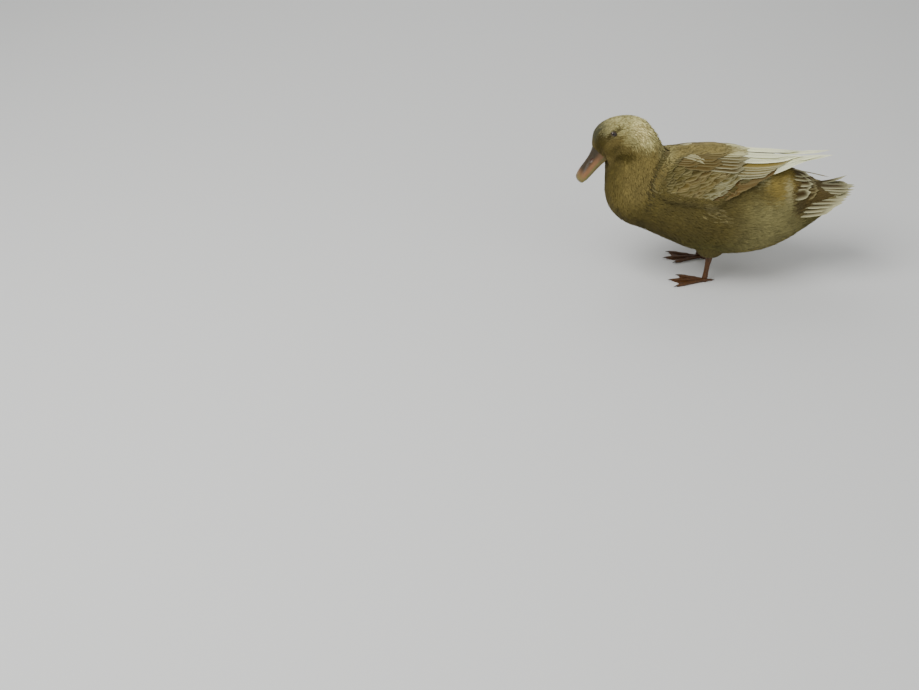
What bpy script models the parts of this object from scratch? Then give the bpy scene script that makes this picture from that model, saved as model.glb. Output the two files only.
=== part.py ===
"""A standing Swedish Yellow duck hen at life size, head turned a little to its left.

Metres, +Z up. The bird faces -Y and its left side is at +X. The floor is z = 0.
"""

import math
import random

import bmesh
import bpy
from mathutils import Matrix, Vector
from mathutils.bvhtree import BVHTree

GAP = 0.0003  # clearance between neighbouring pieces
BODY_CLEARANCE = 1.8 * GAP  # between the body and the wings and thighs laid on it
RAY_START = 0.08  # how far outside the head a ray starts that looks for its surface
NARROW = 1e-6  # points nearer than this are one
SHIFT_Y = 0.0047  # moves the whole bird so that its footprint is centred

# Rings of the body from the bill to the quills of the tail. Each row holds the place, the
# upper edge (y, z), the lower edge (y, z), the half width, the fullness of the section, how
# far its widest level sits above the middle, and the share of the head's turn.
BODY_STATIONS = (
    ("bill base", -0.2386, 0.2636, -0.2118, 0.2368, 0.0120, 2.2, -0.10, 1.00),
    ("lores", -0.2384, 0.2790, -0.2093, 0.2342, 0.0158, 2.2, -0.15, 1.00),
    ("brow", -0.2350, 0.2935, -0.2098, 0.2312, 0.0190, 2.2, -0.20, 1.00),
    ("forehead", -0.2250, 0.3055, -0.2096, 0.2290, 0.0216, 2.2, -0.24, 1.00),
    ("eye", -0.2092, 0.3140, -0.2098, 0.2265, 0.0234, 2.2, -0.26, 1.00),
    ("crown", -0.1775, 0.3178, -0.2100, 0.2220, 0.0248, 2.2, -0.22, 0.85),
    ("back of crown", -0.1490, 0.3105, -0.2096, 0.2145, 0.0258, 2.2, -0.14, 0.60),
    ("nape", -0.1285, 0.2915, -0.2092, 0.2050, 0.0268, 2.2, -0.06, 0.35),
    ("low nape", -0.1140, 0.2690, -0.2088, 0.1935, 0.0310, 2.2, -0.04, 0.15),
    ("neck base", -0.1035, 0.2510, -0.2085, 0.1795, 0.0400, 2.2, -0.04, 0.04),
    ("shoulders", -0.0940, 0.2425, -0.2075, 0.1620, 0.0530, 2.2, -0.05, 0.00),
    ("breast", -0.0815, 0.2412, -0.2000, 0.1385, 0.0680, 2.2, -0.06, 0.00),
    ("low breast", -0.0650, 0.2425, -0.1800, 0.1185, 0.0790, 2.2, -0.08, 0.00),
    ("keel", -0.0430, 0.2445, -0.1450, 0.1045, 0.0870, 2.2, -0.08, 0.00),
    ("wing root", -0.0150, 0.2455, -0.1000, 0.0840, 0.0915, 2.2, -0.08, 0.00),
    ("belly", 0.0150, 0.2445, -0.0500, 0.0620, 0.0935, 2.2, -0.08, 0.00),
    ("hips", 0.0430, 0.2395, 0.0000, 0.0525, 0.0925, 2.2, -0.08, 0.00),
    ("back", 0.0680, 0.2320, 0.0450, 0.0510, 0.0885, 2.1, -0.08, 0.00),
    ("rump", 0.0930, 0.2240, 0.0880, 0.0575, 0.0800, 2.1, -0.08, 0.00),
    ("stern", 0.1180, 0.2160, 0.1270, 0.0720, 0.0670, 2.1, -0.05, 0.00),
    ("vent", 0.1400, 0.2070, 0.1620, 0.0930, 0.0530, 2.1, 0.00, 0.00),
    ("tail root", 0.1580, 0.1970, 0.1900, 0.1130, 0.0430, 2.1, 0.10, 0.00),
    ("tail coverts", 0.1750, 0.1855, 0.2100, 0.1330, 0.0385, 2.1, 0.20, 0.00),
    ("quills", 0.1930, 0.1765, 0.2200, 0.1500, 0.0340, 2.1, 0.25, 0.00),
    ("quill ends", 0.2120, 0.1715, 0.2260, 0.1590, 0.0280, 2.1, 0.20, 0.00),
)
RING_SEGMENTS = 32
HEAD_RING_STEP = 0.0058
BODY_RING_STEP = 0.0125
HEAD_END = "low nape"
HEAD_CUT = ("back of crown", 0.45)  # a place between this station and the next
NECK_CUT = ("neck base", 0.55)
TAIL_CUT = ("vent", 0.35)
HEAD_TURN = math.radians(12)
TURN_CENTRE_Y = -0.150

# Bill, in the head's own upright frame before its turn.
BILL_BASE = Vector((0, -0.2237, 0.2527))
BILL_TIP = Vector((0.0, -0.2657, 0.2002))
UPPER_BILL = (  # share of the way to the tip, ridge height, edge height, half width
    (-0.17, 0.0235, -0.0135, 0.0120),
    (0.00, 0.0178, -0.0118, 0.0120),
    (0.13, 0.0140, -0.0106, 0.0119),
    (0.27, 0.0112, -0.0094, 0.0122),
    (0.43, 0.0096, -0.0084, 0.0131),
    (0.59, 0.0084, -0.0076, 0.0146),
    (0.73, 0.0072, -0.0071, 0.0156),
    (0.86, 0.0053, -0.0068, 0.0152),
    (0.95, 0.0030, -0.0066, 0.0122),
    (0.985, 0.0000, -0.0064, 0.0075),
    (1.00, -0.0030, -0.0062, 0.0030),
)
LOWER_BILL = (  # share of the way to the tip, edge height, keel height, half width
    (-0.15, -0.0135, -0.0235, 0.0108),
    (0.05, -0.0114, -0.0200, 0.0108),
    (0.20, -0.0100, -0.0178, 0.0108),
    (0.37, -0.0087, -0.0158, 0.0112),
    (0.57, -0.0077, -0.0140, 0.0126),
    (0.74, -0.0071, -0.0122, 0.0137),
    (0.87, -0.0068, -0.0106, 0.0125),
    (0.94, -0.0066, -0.0092, 0.0080),
    (0.97, -0.0065, -0.0080, 0.0035),
)
BILL_SEGMENTS = 14
BILL_FLOOR = 0.55  # where the flat inner faces of the bill are creased, as a share of its half width
BILL_ROOF = 0.0006
MOUTH_GAP = 2 * GAP
NOSTRIL_PLACE = (0.30, 0.0072)  # share of the way to the tip, height above the bill's axis
NOSTRIL_SIZE = (0.0048, 0.0030, 0.0017)
NAIL_PLACE = (0.945, 0.0022)
NAIL_SIZE = (0.0048, 0.0016, 0.0036)

EYE_Y, EYE_Z = -0.2051, 0.2926
EYE_RADIUS = 0.0060
EYE_SUNK = 0.0040
EYE_SEGMENTS, EYE_RINGS = 16, 10
LID_RING, LID_THICK = 0.0050, 0.0011
LID_SEGMENTS, LID_SIDES = 16, 6

# Envelope in which the folded wings lie: y, top z, half width, centre z.
WING_ENVELOPE = (
    (0.020, 0.2520, 0.0985, 0.155),
    (0.050, 0.2465, 0.0920, 0.157),
    (0.080, 0.2440, 0.0780, 0.165),
    (0.110, 0.2425, 0.0600, 0.182),
    (0.140, 0.2418, 0.0430, 0.205),
    (0.175, 0.2435, 0.0300, 0.222),
    (0.205, 0.2462, 0.0200, 0.232),
)
WING_LIFT = 0.0065
WING_FRONT = ((4, -0.096), (18, -0.110), (28, -0.119), (40, -0.127), (56, -0.127), (76, -0.106))
WING_LOW = (  # y and the angle from the back down to the lower edge
    (-0.127, 64),
    (-0.060, 71),
    (-0.004, 70),
    (0.012, 60),
    (0.030, 50),
    (0.050, 43),
    (0.083, 36),
    (0.112, 32),
)
WING_TOP_ANGLE = 5
WING_END_Y = 0.108
WING_ROWS, WING_COLUMNS = 14, 7
WING_SUNK = 0.0022  # how far the wing's plate lies under the tips of its feathers
WING_THICK = 0.0042
WING_ROUNDING = 0.0030
WING_CLEARANCE = 0.0012  # nearest that a wing comes to the middle plane

# Feathers of a wing in tiers: how many, then for the first and the last of them the root and
# the tip (y and the angle from the back), the half width, and the heights of root and tip.
WING_TIERS = (
    ("primary", 4, (0.055, 39), (0.205, 20), (0.045, 24), (0.156, 16), 0.0088, -0.0040, -0.0028),
    ("tertial", 4, (0.008, 38), (0.096, 36), (-0.012, 13), (0.146, 17), 0.0118, -0.0035, 0.0008),
    ("secondary", 4, (-0.034, 68), (0.018, 61), (0.020, 45), (0.096, 37), 0.0115, -0.0042, -0.0014),
    ("greater", 4, (-0.062, 67), (-0.008, 64), (0.002, 41), (0.050, 36), 0.0122, -0.0042, -0.0004),
    ("median", 4, (-0.082, 66), (-0.036, 65), (-0.026, 37), (0.020, 32), 0.0122, -0.0042, 0.0000),
    ("lesser", 4, (-0.106, 63), (-0.066, 65), (-0.062, 33), (-0.020, 28), 0.0120, -0.0042, 0.0002),
    ("marginal", 4, (-0.122, 59), (-0.090, 63), (-0.094, 28), (-0.054, 23), 0.0095, -0.0042, 0.0002),
    ("scapular", 4, (-0.075, 28), (-0.012, 33), (-0.070, 9), (0.012, 11), 0.0118, -0.0038, 0.0014),
)

VANE_SHARES = (0.0, 0.45, 0.82, 1.0)
VANE_WIDTHS = (0.70, 1.00, 0.86, 0.22)
VANE_THICK = 0.0010
VANE_ROLL = math.radians(6)
VANE_WANDER = 0.10

# The tail's feathers from the middle one outwards: tip x, y and z.
TAIL_TIPS = (
    (0.0045, 0.2563, 0.1772),
    (0.0135, 0.2500, 0.1728),
    (0.0225, 0.2450, 0.1698),
    (0.0315, 0.2385, 0.1678),
    (0.0405, 0.2305, 0.1650),
    (0.0490, 0.2190, 0.1610),
    (0.0560, 0.2050, 0.1555),
)
TAIL_ROOT_IN, TAIL_ROOT_OUT = Vector((0.0035, 0.178, 0.1690)), Vector((0.028, 0.160, 0.1480))
TAIL_ROLL = math.radians(32)  # tilt of the outermost feathers
TAIL_LEAN = 0.004  # how much higher the right half of the fan lies at its edge
TAIL_VANE = 0.0088
RAISED_FEATHER = ("right", 2, 0.0165)
TAIL_COVERTS = (  # how many, first and last angle around the body, root, tip, half width
    (5, -60, 60, ("vent", 0.75), ("tail coverts", 0.55), 0.0110),
    (4, -45, 45, ("tail root", 0.30), ("quills", 0.45), 0.0100),
    (4, 128, 232, ("tail root", 0.20), ("quills", 0.50), 0.0110),
)
COVERT_ROOT, COVERT_TIP = -0.0023, 0.0022

LEG_X = 0.047
THIGH_TOP, THIGH_Y = 0.105, -0.010
THIGH_SHARES = (0.0, 0.2, 0.4, 0.6, 0.8, 0.93, 1.0)
THIGH_HALF, THIGH_FLAT = 0.028, 0.75
HOCK_Y, HOCK_Z, HOCK_HALF = -0.011, 0.054, 0.0072
ANKLE_Y, ANKLE_Z = -0.016, 0.0090
SHANK_SIZES = ((0.0, 0.0068), (0.12, 0.0066), (0.4, 0.0050), (0.75, 0.0048), (1.0, 0.0056))
SHANK_FLAT = 0.78
TOE_LENGTHS = {"inner": 0.050, "middle": 0.062, "outer": 0.058}
TOE_SPREAD = {"inner": -24, "middle": -2, "outer": 22}
TOE_RADIUS, TOE_TIP_Z = 0.0034, 0.0026
TOE_KNUCKLES = ((0, 1.0), (0.3, 0.82), (0.42, 1.0), (0.65, 0.78), (0.78, 0.95), (1, 0.6))
FOOT_HUB = (0.0058, 0.0066, 0.0043)
HUB_Z = 0.0040
HIND_TOE = Vector((-0.004, 0.015, 0.0010))
HIND_TOE_SIZE = 0.7
WEB_THICK, WEB_SAG = 0.0022, 0.16
WEB_UNDER = -0.0010  # the web starts this far under the floor, at which it is cut flat
HEEL = 0.0020
WEB_CORNER = 0.55
CLAW_LENGTH, CLAW_RADIUS, CLAW_DROP = 0.0070, 0.0016, 0.0011

COLLECTION_NAME = "swedish_yellow_duck"
COLOURS = {
    "torso": (0.42, 0.27, 0.12),
    "neck": (0.50, 0.34, 0.17),
    "head": (0.58, 0.45, 0.26),
    "bill": (0.62, 0.30, 0.16),
    "eye": (0.05, 0.03, 0.02),
    "wing": (0.66, 0.54, 0.36),
    "tail": (0.70, 0.60, 0.42),
    "leg": (0.60, 0.22, 0.07),
    "claw": (0.16, 0.11, 0.08),
}
ROUGHNESS = {"eye": 0.1, "bill": 0.45, "leg": 0.55, "claw": 0.4}
PLAIN_ROUGHNESS = 0.85


def clear_scene():
    for item in list(bpy.data.objects):
        bpy.data.objects.remove(item, do_unlink=True)


def new_collection(name):
    collection = bpy.data.collections.new(name)
    bpy.context.scene.collection.children.link(collection)
    return collection


def surface_material(kind):
    name = "duck_" + kind
    if name in bpy.data.materials:
        return bpy.data.materials[name]
    material = bpy.data.materials.new(name)
    material.use_nodes = True
    shader = material.node_tree.nodes["Principled BSDF"]
    shader.inputs["Base Color"].default_value = (*COLOURS[kind], 1.0)
    shader.inputs["Roughness"].default_value = ROUGHNESS.get(kind, PLAIN_ROUGHNESS)
    shader.inputs["Metallic"].default_value = 0.0
    return material


def interpolate(knots, rows, at):
    """A smooth curve through rows of numbers, one row for each knot, read at one place."""
    last = len(knots) - 1
    at = min(max(at, knots[0]), knots[last])
    index = 0
    while index < last - 1 and knots[index + 1] <= at:
        index += 1

    def slope(where, column):
        before, after = max(where - 1, 0), min(where + 1, last)
        if before == where or after == where:
            rise = rows[after][column] - rows[before][column]
            return rise / (knots[after] - knots[before])
        run_in, run_out = knots[where] - knots[before], knots[after] - knots[where]
        first = (rows[where][column] - rows[before][column]) / run_in
        second = (rows[after][column] - rows[where][column]) / run_out
        return (first * run_out + second * run_in) / (run_in + run_out)

    span = knots[index + 1] - knots[index]
    part = (at - knots[index]) / span
    values = []
    for column in range(len(rows[0])):
        start, end = rows[index][column], rows[index + 1][column]
        start_slope, end_slope = slope(index, column) * span, slope(index + 1, column) * span
        values.append(
            start * (2 * part**3 - 3 * part**2 + 1)
            + start_slope * (part**3 - 2 * part**2 + part)
            + end * (3 * part**2 - 2 * part**3)
            + end_slope * (part**3 - part**2)
        )
    return values


def table(rows, at):
    """The values of a table at one place, the first number of each row being the place."""
    return interpolate([row[0] for row in rows], [row[1:] for row in rows], at)


def body_knots():
    """Places of the stations along the body, by how far their two edges travel."""
    knots = [0.0]
    for first, second in zip(BODY_STATIONS, BODY_STATIONS[1:]):
        upper = math.hypot(second[1] - first[1], second[2] - first[2])
        lower = math.hypot(second[3] - first[3], second[4] - first[4])
        knots.append(knots[-1] + (upper + lower) / 2)
    return knots


KNOTS = body_knots()
PLACES = [row[0] for row in BODY_STATIONS]


def place_along(name, part=0.0):
    index = PLACES.index(name)
    if part == 0.0:
        return KNOTS[index]
    return KNOTS[index] * (1 - part) + KNOTS[index + 1] * part


def body_section(at):
    return interpolate(KNOTS, [row[1:] for row in BODY_STATIONS], at)


def turned(point, share=1.0):
    """A point of the head's upright frame, turned with the head."""
    centre = Vector((0.0, TURN_CENTRE_Y, 0.0))
    return Matrix.Rotation(HEAD_TURN * share, 3, "Z") @ (point - centre) + centre


def power(value, exponent):
    return math.copysign(abs(value) ** exponent, value)


def body_ring(at):
    upper_y, upper_z, lower_y, lower_z, half, fullness, level, share = body_section(at)
    upper, lower = Vector((0, upper_y, upper_z)), Vector((0, lower_y, lower_z))
    centre, reach = (upper + lower) / 2, (upper - lower) / 2
    points = []
    for step in range(RING_SEGMENTS):
        angle = 2 * math.pi * step / RING_SEGMENTS
        along = power(math.cos(angle), 2 / fullness)
        across = power(math.sin(angle), 2 / fullness)
        point = centre + reach * (along + level * (1 - along**2))
        point.x = half * across
        points.append(turned(point, share))
    return points


def body_point(at, degrees, height):
    """A point over the body, by its place along it and the angle from the upper edge."""

    def on_skin(where, angle):
        upper_y, upper_z, lower_y, lower_z, half, fullness, level, _ = body_section(where)
        upper, lower = Vector((0, upper_y, upper_z)), Vector((0, lower_y, lower_z))
        along = power(math.cos(angle), 2 / fullness)
        reach = (upper - lower) / 2
        point = (upper + lower) / 2 + reach * (along + level * (1 - along**2))
        point.x = half * power(math.sin(angle), 2 / fullness)
        return point

    angle = math.radians(degrees)
    step = 1e-3
    point = on_skin(at, angle)
    around = on_skin(at, angle + step) - on_skin(at, angle - step)
    onwards = on_skin(at + step, angle) - on_skin(at - step, angle)
    normal = onwards.cross(around).normalized()
    return point + normal * height, normal


def ring_places():
    places, at = [], 0.0
    while at < KNOTS[-1] - BODY_RING_STEP / 2:
        places.append(at)
        at += HEAD_RING_STEP if at < place_along(HEAD_END) else BODY_RING_STEP
    places.append(KNOTS[-1])
    return places


def loft(rings):
    """A closed surface through rings of equal count, with a flat face at each end."""
    mesh = bmesh.new()
    rows = [[mesh.verts.new(point) for point in ring] for ring in rings]
    for first, second in zip(rows, rows[1:]):
        for step in range(len(first)):
            after = (step + 1) % len(first)
            mesh.faces.new((first[step], first[after], second[after], second[step]))
    mesh.faces.new(list(reversed(rows[0])))
    mesh.faces.new(rows[-1])
    bmesh.ops.recalc_face_normals(mesh, faces=mesh.faces)
    return mesh


def body_mesh(swell=0.0):
    mesh = loft([body_ring(at) for at in ring_places()])
    mesh.normal_update()
    for vertex in mesh.verts:
        vertex.co += vertex.normal * swell
    return mesh


def cut_plane(place):
    """Centre and forward normal of the flat cut across the body at one place."""
    upper_y, upper_z, lower_y, lower_z, _, _, _, share = body_section(place_along(*place))
    upper = turned(Vector((0, upper_y, upper_z)), share)
    lower = turned(Vector((0, lower_y, lower_z)), share)
    side = Matrix.Rotation(HEAD_TURN * share, 3, "Z") @ Vector((1, 0, 0))
    normal = side.cross(upper - lower).normalized()
    return (upper + lower) / 2, normal


def keep_behind(mesh, centre, normal):
    """Cuts away what lies on the side that the normal points to, and closes the cut."""
    everything = mesh.verts[:] + mesh.edges[:] + mesh.faces[:]
    bmesh.ops.bisect_plane(
        mesh, geom=everything, dist=NARROW / 10, plane_co=centre, plane_no=normal, clear_outer=True
    )
    rim = [edge for edge in mesh.edges if edge.is_boundary]
    bmesh.ops.edgeloop_fill(mesh, edges=rim)
    bmesh.ops.recalc_face_normals(mesh, faces=mesh.faces)


def add_object(name, mesh, kind, collection, smooth=35):
    data = bpy.data.meshes.new(name)
    mesh.to_mesh(data)
    mesh.free()
    item = bpy.data.objects.new(name, data)
    collection.objects.link(item)
    data.shade_smooth()
    data.set_sharp_from_angle(angle=math.radians(smooth))
    if kind:
        data.materials.append(surface_material(kind))
    return item


def add_helper(name, mesh, helpers):
    item = add_object(name, mesh, None, helpers)
    item.hide_render = True
    item.display_type = "WIRE"
    return item


def apply_boolean(item, operation, other=None, group=None, solver="EXACT"):
    modifier = item.modifiers.new(operation.lower(), "BOOLEAN")
    modifier.operation = operation
    modifier.solver = solver
    if group is not None:
        modifier.operand_type = "COLLECTION"
        modifier.collection = group
    else:
        modifier.object = other
    graph = bpy.context.evaluated_depsgraph_get()
    result = bpy.data.meshes.new_from_object(item.evaluated_get(graph))
    item.modifiers.clear()
    old = item.data
    item.data = result
    result.name = item.name
    bpy.data.meshes.remove(old)


def remove_objects(items):
    for item in list(items):
        bpy.data.objects.remove(item, do_unlink=True)


def keep_largest(item):
    """Keeps only the closed surface of the item that holds the most volume."""
    mesh = bmesh.new()
    mesh.from_mesh(item.data)
    left, bodies = set(mesh.faces), []
    while left:
        queue = [left.pop()]
        found = set(queue)
        while queue:
            face = queue.pop()
            for edge in face.edges:
                for other in edge.link_faces:
                    if other not in found:
                        found.add(other)
                        queue.append(other)
        left -= found
        bodies.append(found)

    def volume(faces):
        total = 0.0
        for face in faces:
            corners = [vertex.co for vertex in face.verts]
            for second, third in zip(corners[1:], corners[2:]):
                total += corners[0].dot(second.cross(third)) / 6
        return total

    largest = max(bodies, key=volume)
    scraps = [face for face in mesh.faces if face not in largest]
    bmesh.ops.delete(mesh, geom=scraps, context="FACES")
    loose = [vertex for vertex in mesh.verts if not vertex.link_faces]
    bmesh.ops.delete(mesh, geom=loose, context="VERTS")
    mesh.to_mesh(item.data)
    mesh.free()
    item.data.shade_smooth()
    item.data.set_sharp_from_angle(angle=math.radians(35))


def ball(centre, radii, segments=16, rings=8, frame=None):
    mesh = bmesh.new()
    bmesh.ops.create_uvsphere(mesh, u_segments=segments, v_segments=rings, radius=1.0)
    scale = Matrix.Diagonal(Vector(radii)).to_4x4()
    turn = frame.to_4x4() if frame else Matrix.Identity(4)
    bmesh.ops.transform(mesh, matrix=Matrix.Translation(centre) @ turn @ scale, verts=mesh.verts)
    return mesh


def make_trunk(parts):
    """The head, neck and torso as slices of one body. The tail's root is returned apart."""
    head_cut, neck_cut, tail_cut = (cut_plane(cut) for cut in (HEAD_CUT, NECK_CUT, TAIL_CUT))
    slices = {
        "head": (None, head_cut),
        "neck": (head_cut, neck_cut),
        "torso": (neck_cut, tail_cut),
        "tail_root": (tail_cut, None),
    }
    made = {}
    for name, (front, back) in slices.items():
        mesh = body_mesh()
        if front:
            keep_behind(mesh, front[0] - front[1] * GAP / 2, front[1])
        if back:
            keep_behind(mesh, back[0] + back[1] * GAP / 2, -back[1])
        if name == "tail_root":
            made[name] = mesh
        else:
            made[name] = add_object(name, mesh, name, parts)
    return made


def bill_frame():
    """Direction, ridge direction and side direction of the bill."""
    along = (BILL_TIP - BILL_BASE).normalized()
    side = Vector((1, 0, 0))
    ridge = side.cross(along).normalized()
    if ridge.z < 0:
        ridge.negate()
    return along, ridge, side


def bill_point(share, height, across):
    along, ridge, side = bill_frame()
    distance = (BILL_TIP - BILL_BASE).length * share
    return turned(BILL_BASE + along * distance + ridge * height + side * across)


def upper_section(row):
    share, top, edge, half = row
    points = []
    for step in range(BILL_SEGMENTS + 1):
        angle = math.pi * step / BILL_SEGMENTS
        across = half * power(math.cos(angle), 0.82)
        height = edge + (top - edge) * max(math.sin(angle), 0.0) ** 0.78
        points.append(bill_point(share, height, across))
    for across in (-BILL_FLOOR, 0.0, BILL_FLOOR):
        points.append(bill_point(share, edge + BILL_ROOF, across * half))
    return points


def lower_section(row):
    share, edge, keel, half = row
    edge -= MOUTH_GAP
    points = []
    for step in range(BILL_SEGMENTS + 1):
        angle = math.pi * step / BILL_SEGMENTS
        across = half * power(math.cos(angle), 0.7)
        height = edge + (keel - edge) * max(math.sin(angle), 0.0) ** 0.6
        points.append(bill_point(share, height, across))
    for across in (-BILL_FLOOR, 0.0, BILL_FLOOR):
        points.append(bill_point(share, edge, across * half))
    return points


def make_bill(parts, helpers):
    centre, normal = cut_plane(("bill base", 0.0))
    for name, rows, section in (
        ("bill_upper", UPPER_BILL, upper_section),
        ("bill_lower", LOWER_BILL, lower_section),
    ):
        mesh = loft([section(row) for row in rows])
        keep_behind(mesh, centre + normal * GAP, -normal)
        item = add_object(name, mesh, "bill", parts, smooth=50)
        if name == "bill_upper":
            shape_upper_bill(item, helpers)


def shape_upper_bill(item, helpers):
    """Adds the nail at the tip and opens the nostrils."""
    along, ridge, side = bill_frame()
    turn = Matrix.Rotation(HEAD_TURN, 3, "Z")
    frame = turn @ Matrix((along, ridge, side)).transposed()
    share, height = NAIL_PLACE
    nail = add_helper("nail", ball(bill_point(share, height, 0), NAIL_SIZE, 12, 8, frame), helpers)
    apply_boolean(item, "UNION", nail)
    remove_objects([nail])
    tree = tree_of(item)
    share, height = NOSTRIL_PLACE
    for sign in (1, -1):
        outside = bill_point(share, height, sign * RAY_START)
        inside = bill_point(share, height, 0.0)
        hit = tree.ray_cast(outside, (inside - outside).normalized())[0]
        cutter = add_helper("nostril_cutter", ball(hit, NOSTRIL_SIZE, 12, 8, frame), helpers)
        apply_boolean(item, "DIFFERENCE", cutter)
        remove_objects([cutter])
    keep_largest(item)


def tree_of(item):
    mesh = bmesh.new()
    mesh.from_mesh(item.data)
    tree = BVHTree.FromBMesh(mesh)
    mesh.free()
    return tree


def make_eyes(parts, helpers, head):
    """Balls in sockets of the head, each inside a raised ring of lids."""
    tree = tree_of(head)
    for name, sign in (("eye_left", 1), ("eye_right", -1)):
        outside = turned(Vector((sign * RAY_START, EYE_Y, EYE_Z)))
        inside = turned(Vector((0.0, EYE_Y, EYE_Z)))
        hit, normal, _, _ = tree.ray_cast(outside, (inside - outside).normalized())
        centre = hit - normal * EYE_SUNK
        frame = normal.to_track_quat("Z", "Y").to_matrix()
        lid_rings = []
        for turn in circle(LID_SEGMENTS):
            outward = Vector((math.cos(turn), math.sin(turn), 0))
            ring = []
            for angle in circle(LID_SIDES):
                offset = outward * math.cos(angle) + Vector((0, 0, 1)) * math.sin(angle)
                ring.append(hit + frame @ (outward * LID_RING + offset * LID_THICK))
            lid_rings.append(ring)
        lids = add_helper("lids", closed_tube(lid_rings), helpers)
        apply_boolean(head, "UNION", lids)
        shape = (EYE_SEGMENTS, EYE_RINGS, frame)
        socket = add_helper("socket", ball(centre, (EYE_RADIUS + GAP,) * 3, *shape), helpers)
        apply_boolean(head, "DIFFERENCE", socket)
        remove_objects([lids, socket])
        add_object(name, ball(centre, (EYE_RADIUS,) * 3, *shape), "eye", parts)
    keep_largest(head)


def closed_tube(rings):
    mesh = bmesh.new()
    rows = [[mesh.verts.new(point) for point in ring] for ring in rings]
    for first, second in zip(rows, rows[1:] + rows[:1]):
        for step in range(len(first)):
            after = (step + 1) % len(first)
            mesh.faces.new((first[step], first[after], second[after], second[step]))
    bmesh.ops.recalc_face_normals(mesh, faces=mesh.faces)
    return mesh


def wing_axis(y):
    """Height of the line from which the wings' envelope is measured at y."""
    return table(WING_ENVELOPE, y)[2]


def envelope_radius(y, angle):
    """Distance from the wings' axis to their envelope, in the upright plane at y."""
    if y < WING_ENVELOPE[0][0]:
        return 0.0
    top, half, centre = table(WING_ENVELOPE, y)
    return 1 / math.hypot(math.sin(angle) / half, math.cos(angle) / (top - centre))


def skin_radius(tree, y, angle):
    origin = Vector((0.0, y, wing_axis(y)))
    hit = tree.ray_cast(origin, Vector((math.sin(angle), 0.0, math.cos(angle))))[0]
    return (hit - origin).length if hit else 0.0


def wing_point(tree, y, degrees, height=0.0):
    """A point on the surface in which the folded wing's feathers lie."""
    angle = math.radians(degrees)
    skin, free = skin_radius(tree, y, angle), envelope_radius(y, angle)
    radius = max(skin + WING_LIFT if skin else 0.0, free) + height
    return Vector((radius * math.sin(angle), y, wing_axis(y) + radius * math.cos(angle)))


def make_wing_plate(tree, name, sign, parts):
    """The plate under the wing's feathers, which holds their roots."""
    rings = []
    for step in range(WING_ROWS + 1):
        outer, inner = [], []
        for column in range(WING_COLUMNS + 1):
            across = column / WING_COLUMNS
            y, angle = 0.0, WING_TOP_ANGLE
            for _ in range(3):
                front = table(WING_FRONT, angle)[0]
                y = front + (WING_END_Y - front) * step / WING_ROWS
                low = table(WING_LOW, y)[0]
                angle = WING_TOP_ANGLE + (low - WING_TOP_ANGLE) * across
            inset = min(across, 1 - across, step / WING_ROWS, 1 - step / WING_ROWS)
            height = -WING_SUNK - WING_ROUNDING * max(1 - 5 * inset, 0) ** 2
            centre = Vector((0, y, wing_axis(y)))
            top = wing_point(tree, y, angle, height)
            skin = skin_radius(tree, y, math.radians(angle))
            depth = WING_THICK
            if skin:
                depth = min(max(depth, (top - centre).length - skin + GAP), 3 * WING_THICK)
            for row, point in ((outer, top), (inner, wing_point(tree, y, angle, height - depth))):
                point.x = max(point.x, WING_CLEARANCE)
                row.append(mirrored(point, sign))
        rings.append(outer + list(reversed(inner)))
    return add_object(name, loft(rings), "wing", parts)


def mirrored(point, sign):
    return Vector((point.x * sign, point.y, point.z))


def vane_mesh(centres, normals, half, roll=0.0):
    """One feather's vane, tilted so that it overlaps the next, thin and pointed at its tip."""
    last = len(centres) - 1
    mesh = bmesh.new()
    rows = []
    for index, centre in enumerate(centres):
        along = (centres[min(index + 1, last)] - centres[max(index - 1, 0)]).normalized()
        normal = normals[index] - along * normals[index].dot(along)
        normal = Matrix.Rotation(roll, 3, along) @ normal.normalized()
        side = along.cross(normal) * half * VANE_WIDTHS[index]
        up = normal * VANE_THICK / 2 * (1 - VANE_SHARES[index] / 3)
        corners = (centre + side + up, centre - side + up, centre - side - up, centre + side - up)
        rows.append([mesh.verts.new(point) for point in corners])
    for first, second in zip(rows, rows[1:]):
        for step in range(4):
            after = (step + 1) % 4
            if step < 2:
                mesh.faces.new((first[step], first[after], second[after]))
                mesh.faces.new((first[step], second[after], second[step]))
            else:
                mesh.faces.new((first[step], first[after], second[step]))
                mesh.faces.new((first[after], second[after], second[step]))
    mesh.faces.new(list(reversed(rows[0])))
    mesh.faces.new(rows[-1])
    bmesh.ops.recalc_face_normals(mesh, faces=mesh.faces)
    return mesh


def wing_vane(tree, sign, root, tip, half, heights, roll):
    centres, normals = [], []
    for share in VANE_SHARES:
        y = root[0] + (tip[0] - root[0]) * share
        angle = root[1] + (tip[1] - root[1]) * share
        height = heights[0] + (heights[1] - heights[0]) * share**0.8
        point = wing_point(tree, y, angle, height)
        ahead = wing_point(tree, y, angle + 1, height)
        normal = Vector((0, 1, 0)).cross(ahead - point).normalized()
        reach = half * abs(normal.z) + WING_CLEARANCE
        point.x = max(point.x, reach)
        centres.append(mirrored(point, sign))
        normals.append(mirrored(normal, sign))
    return vane_mesh(centres, normals, half, roll * sign)


def add_vanes(tree, sign, pieces):
    """The feathers of one wing, tier by tier, each a little unlike the next."""
    chance = random.Random(7)
    for tier, count, root_in, tip_in, root_out, tip_out, half, root_height, tip_height in (
        WING_TIERS
    ):
        for index in range(count):
            share = index / (count - 1)
            wander = [chance.uniform(-VANE_WANDER, VANE_WANDER) for _ in range(3)]
            moved = share + wander[0] / count
            root = [first + (second - first) * share for first, second in zip(root_in, root_out)]
            tip = [first + (second - first) * moved for first, second in zip(tip_in, tip_out)]
            if tier == "primary":
                tip = primary_tip(share)
            lift = VANE_THICK / 2 * wander[1]
            heights = (root_height, tip_height + lift)
            size = half * (1 + wander[2])
            mesh = wing_vane(tree, sign, root, tip, size, heights, -VANE_ROLL)
            add_object(tier, mesh, None, pieces)


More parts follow.
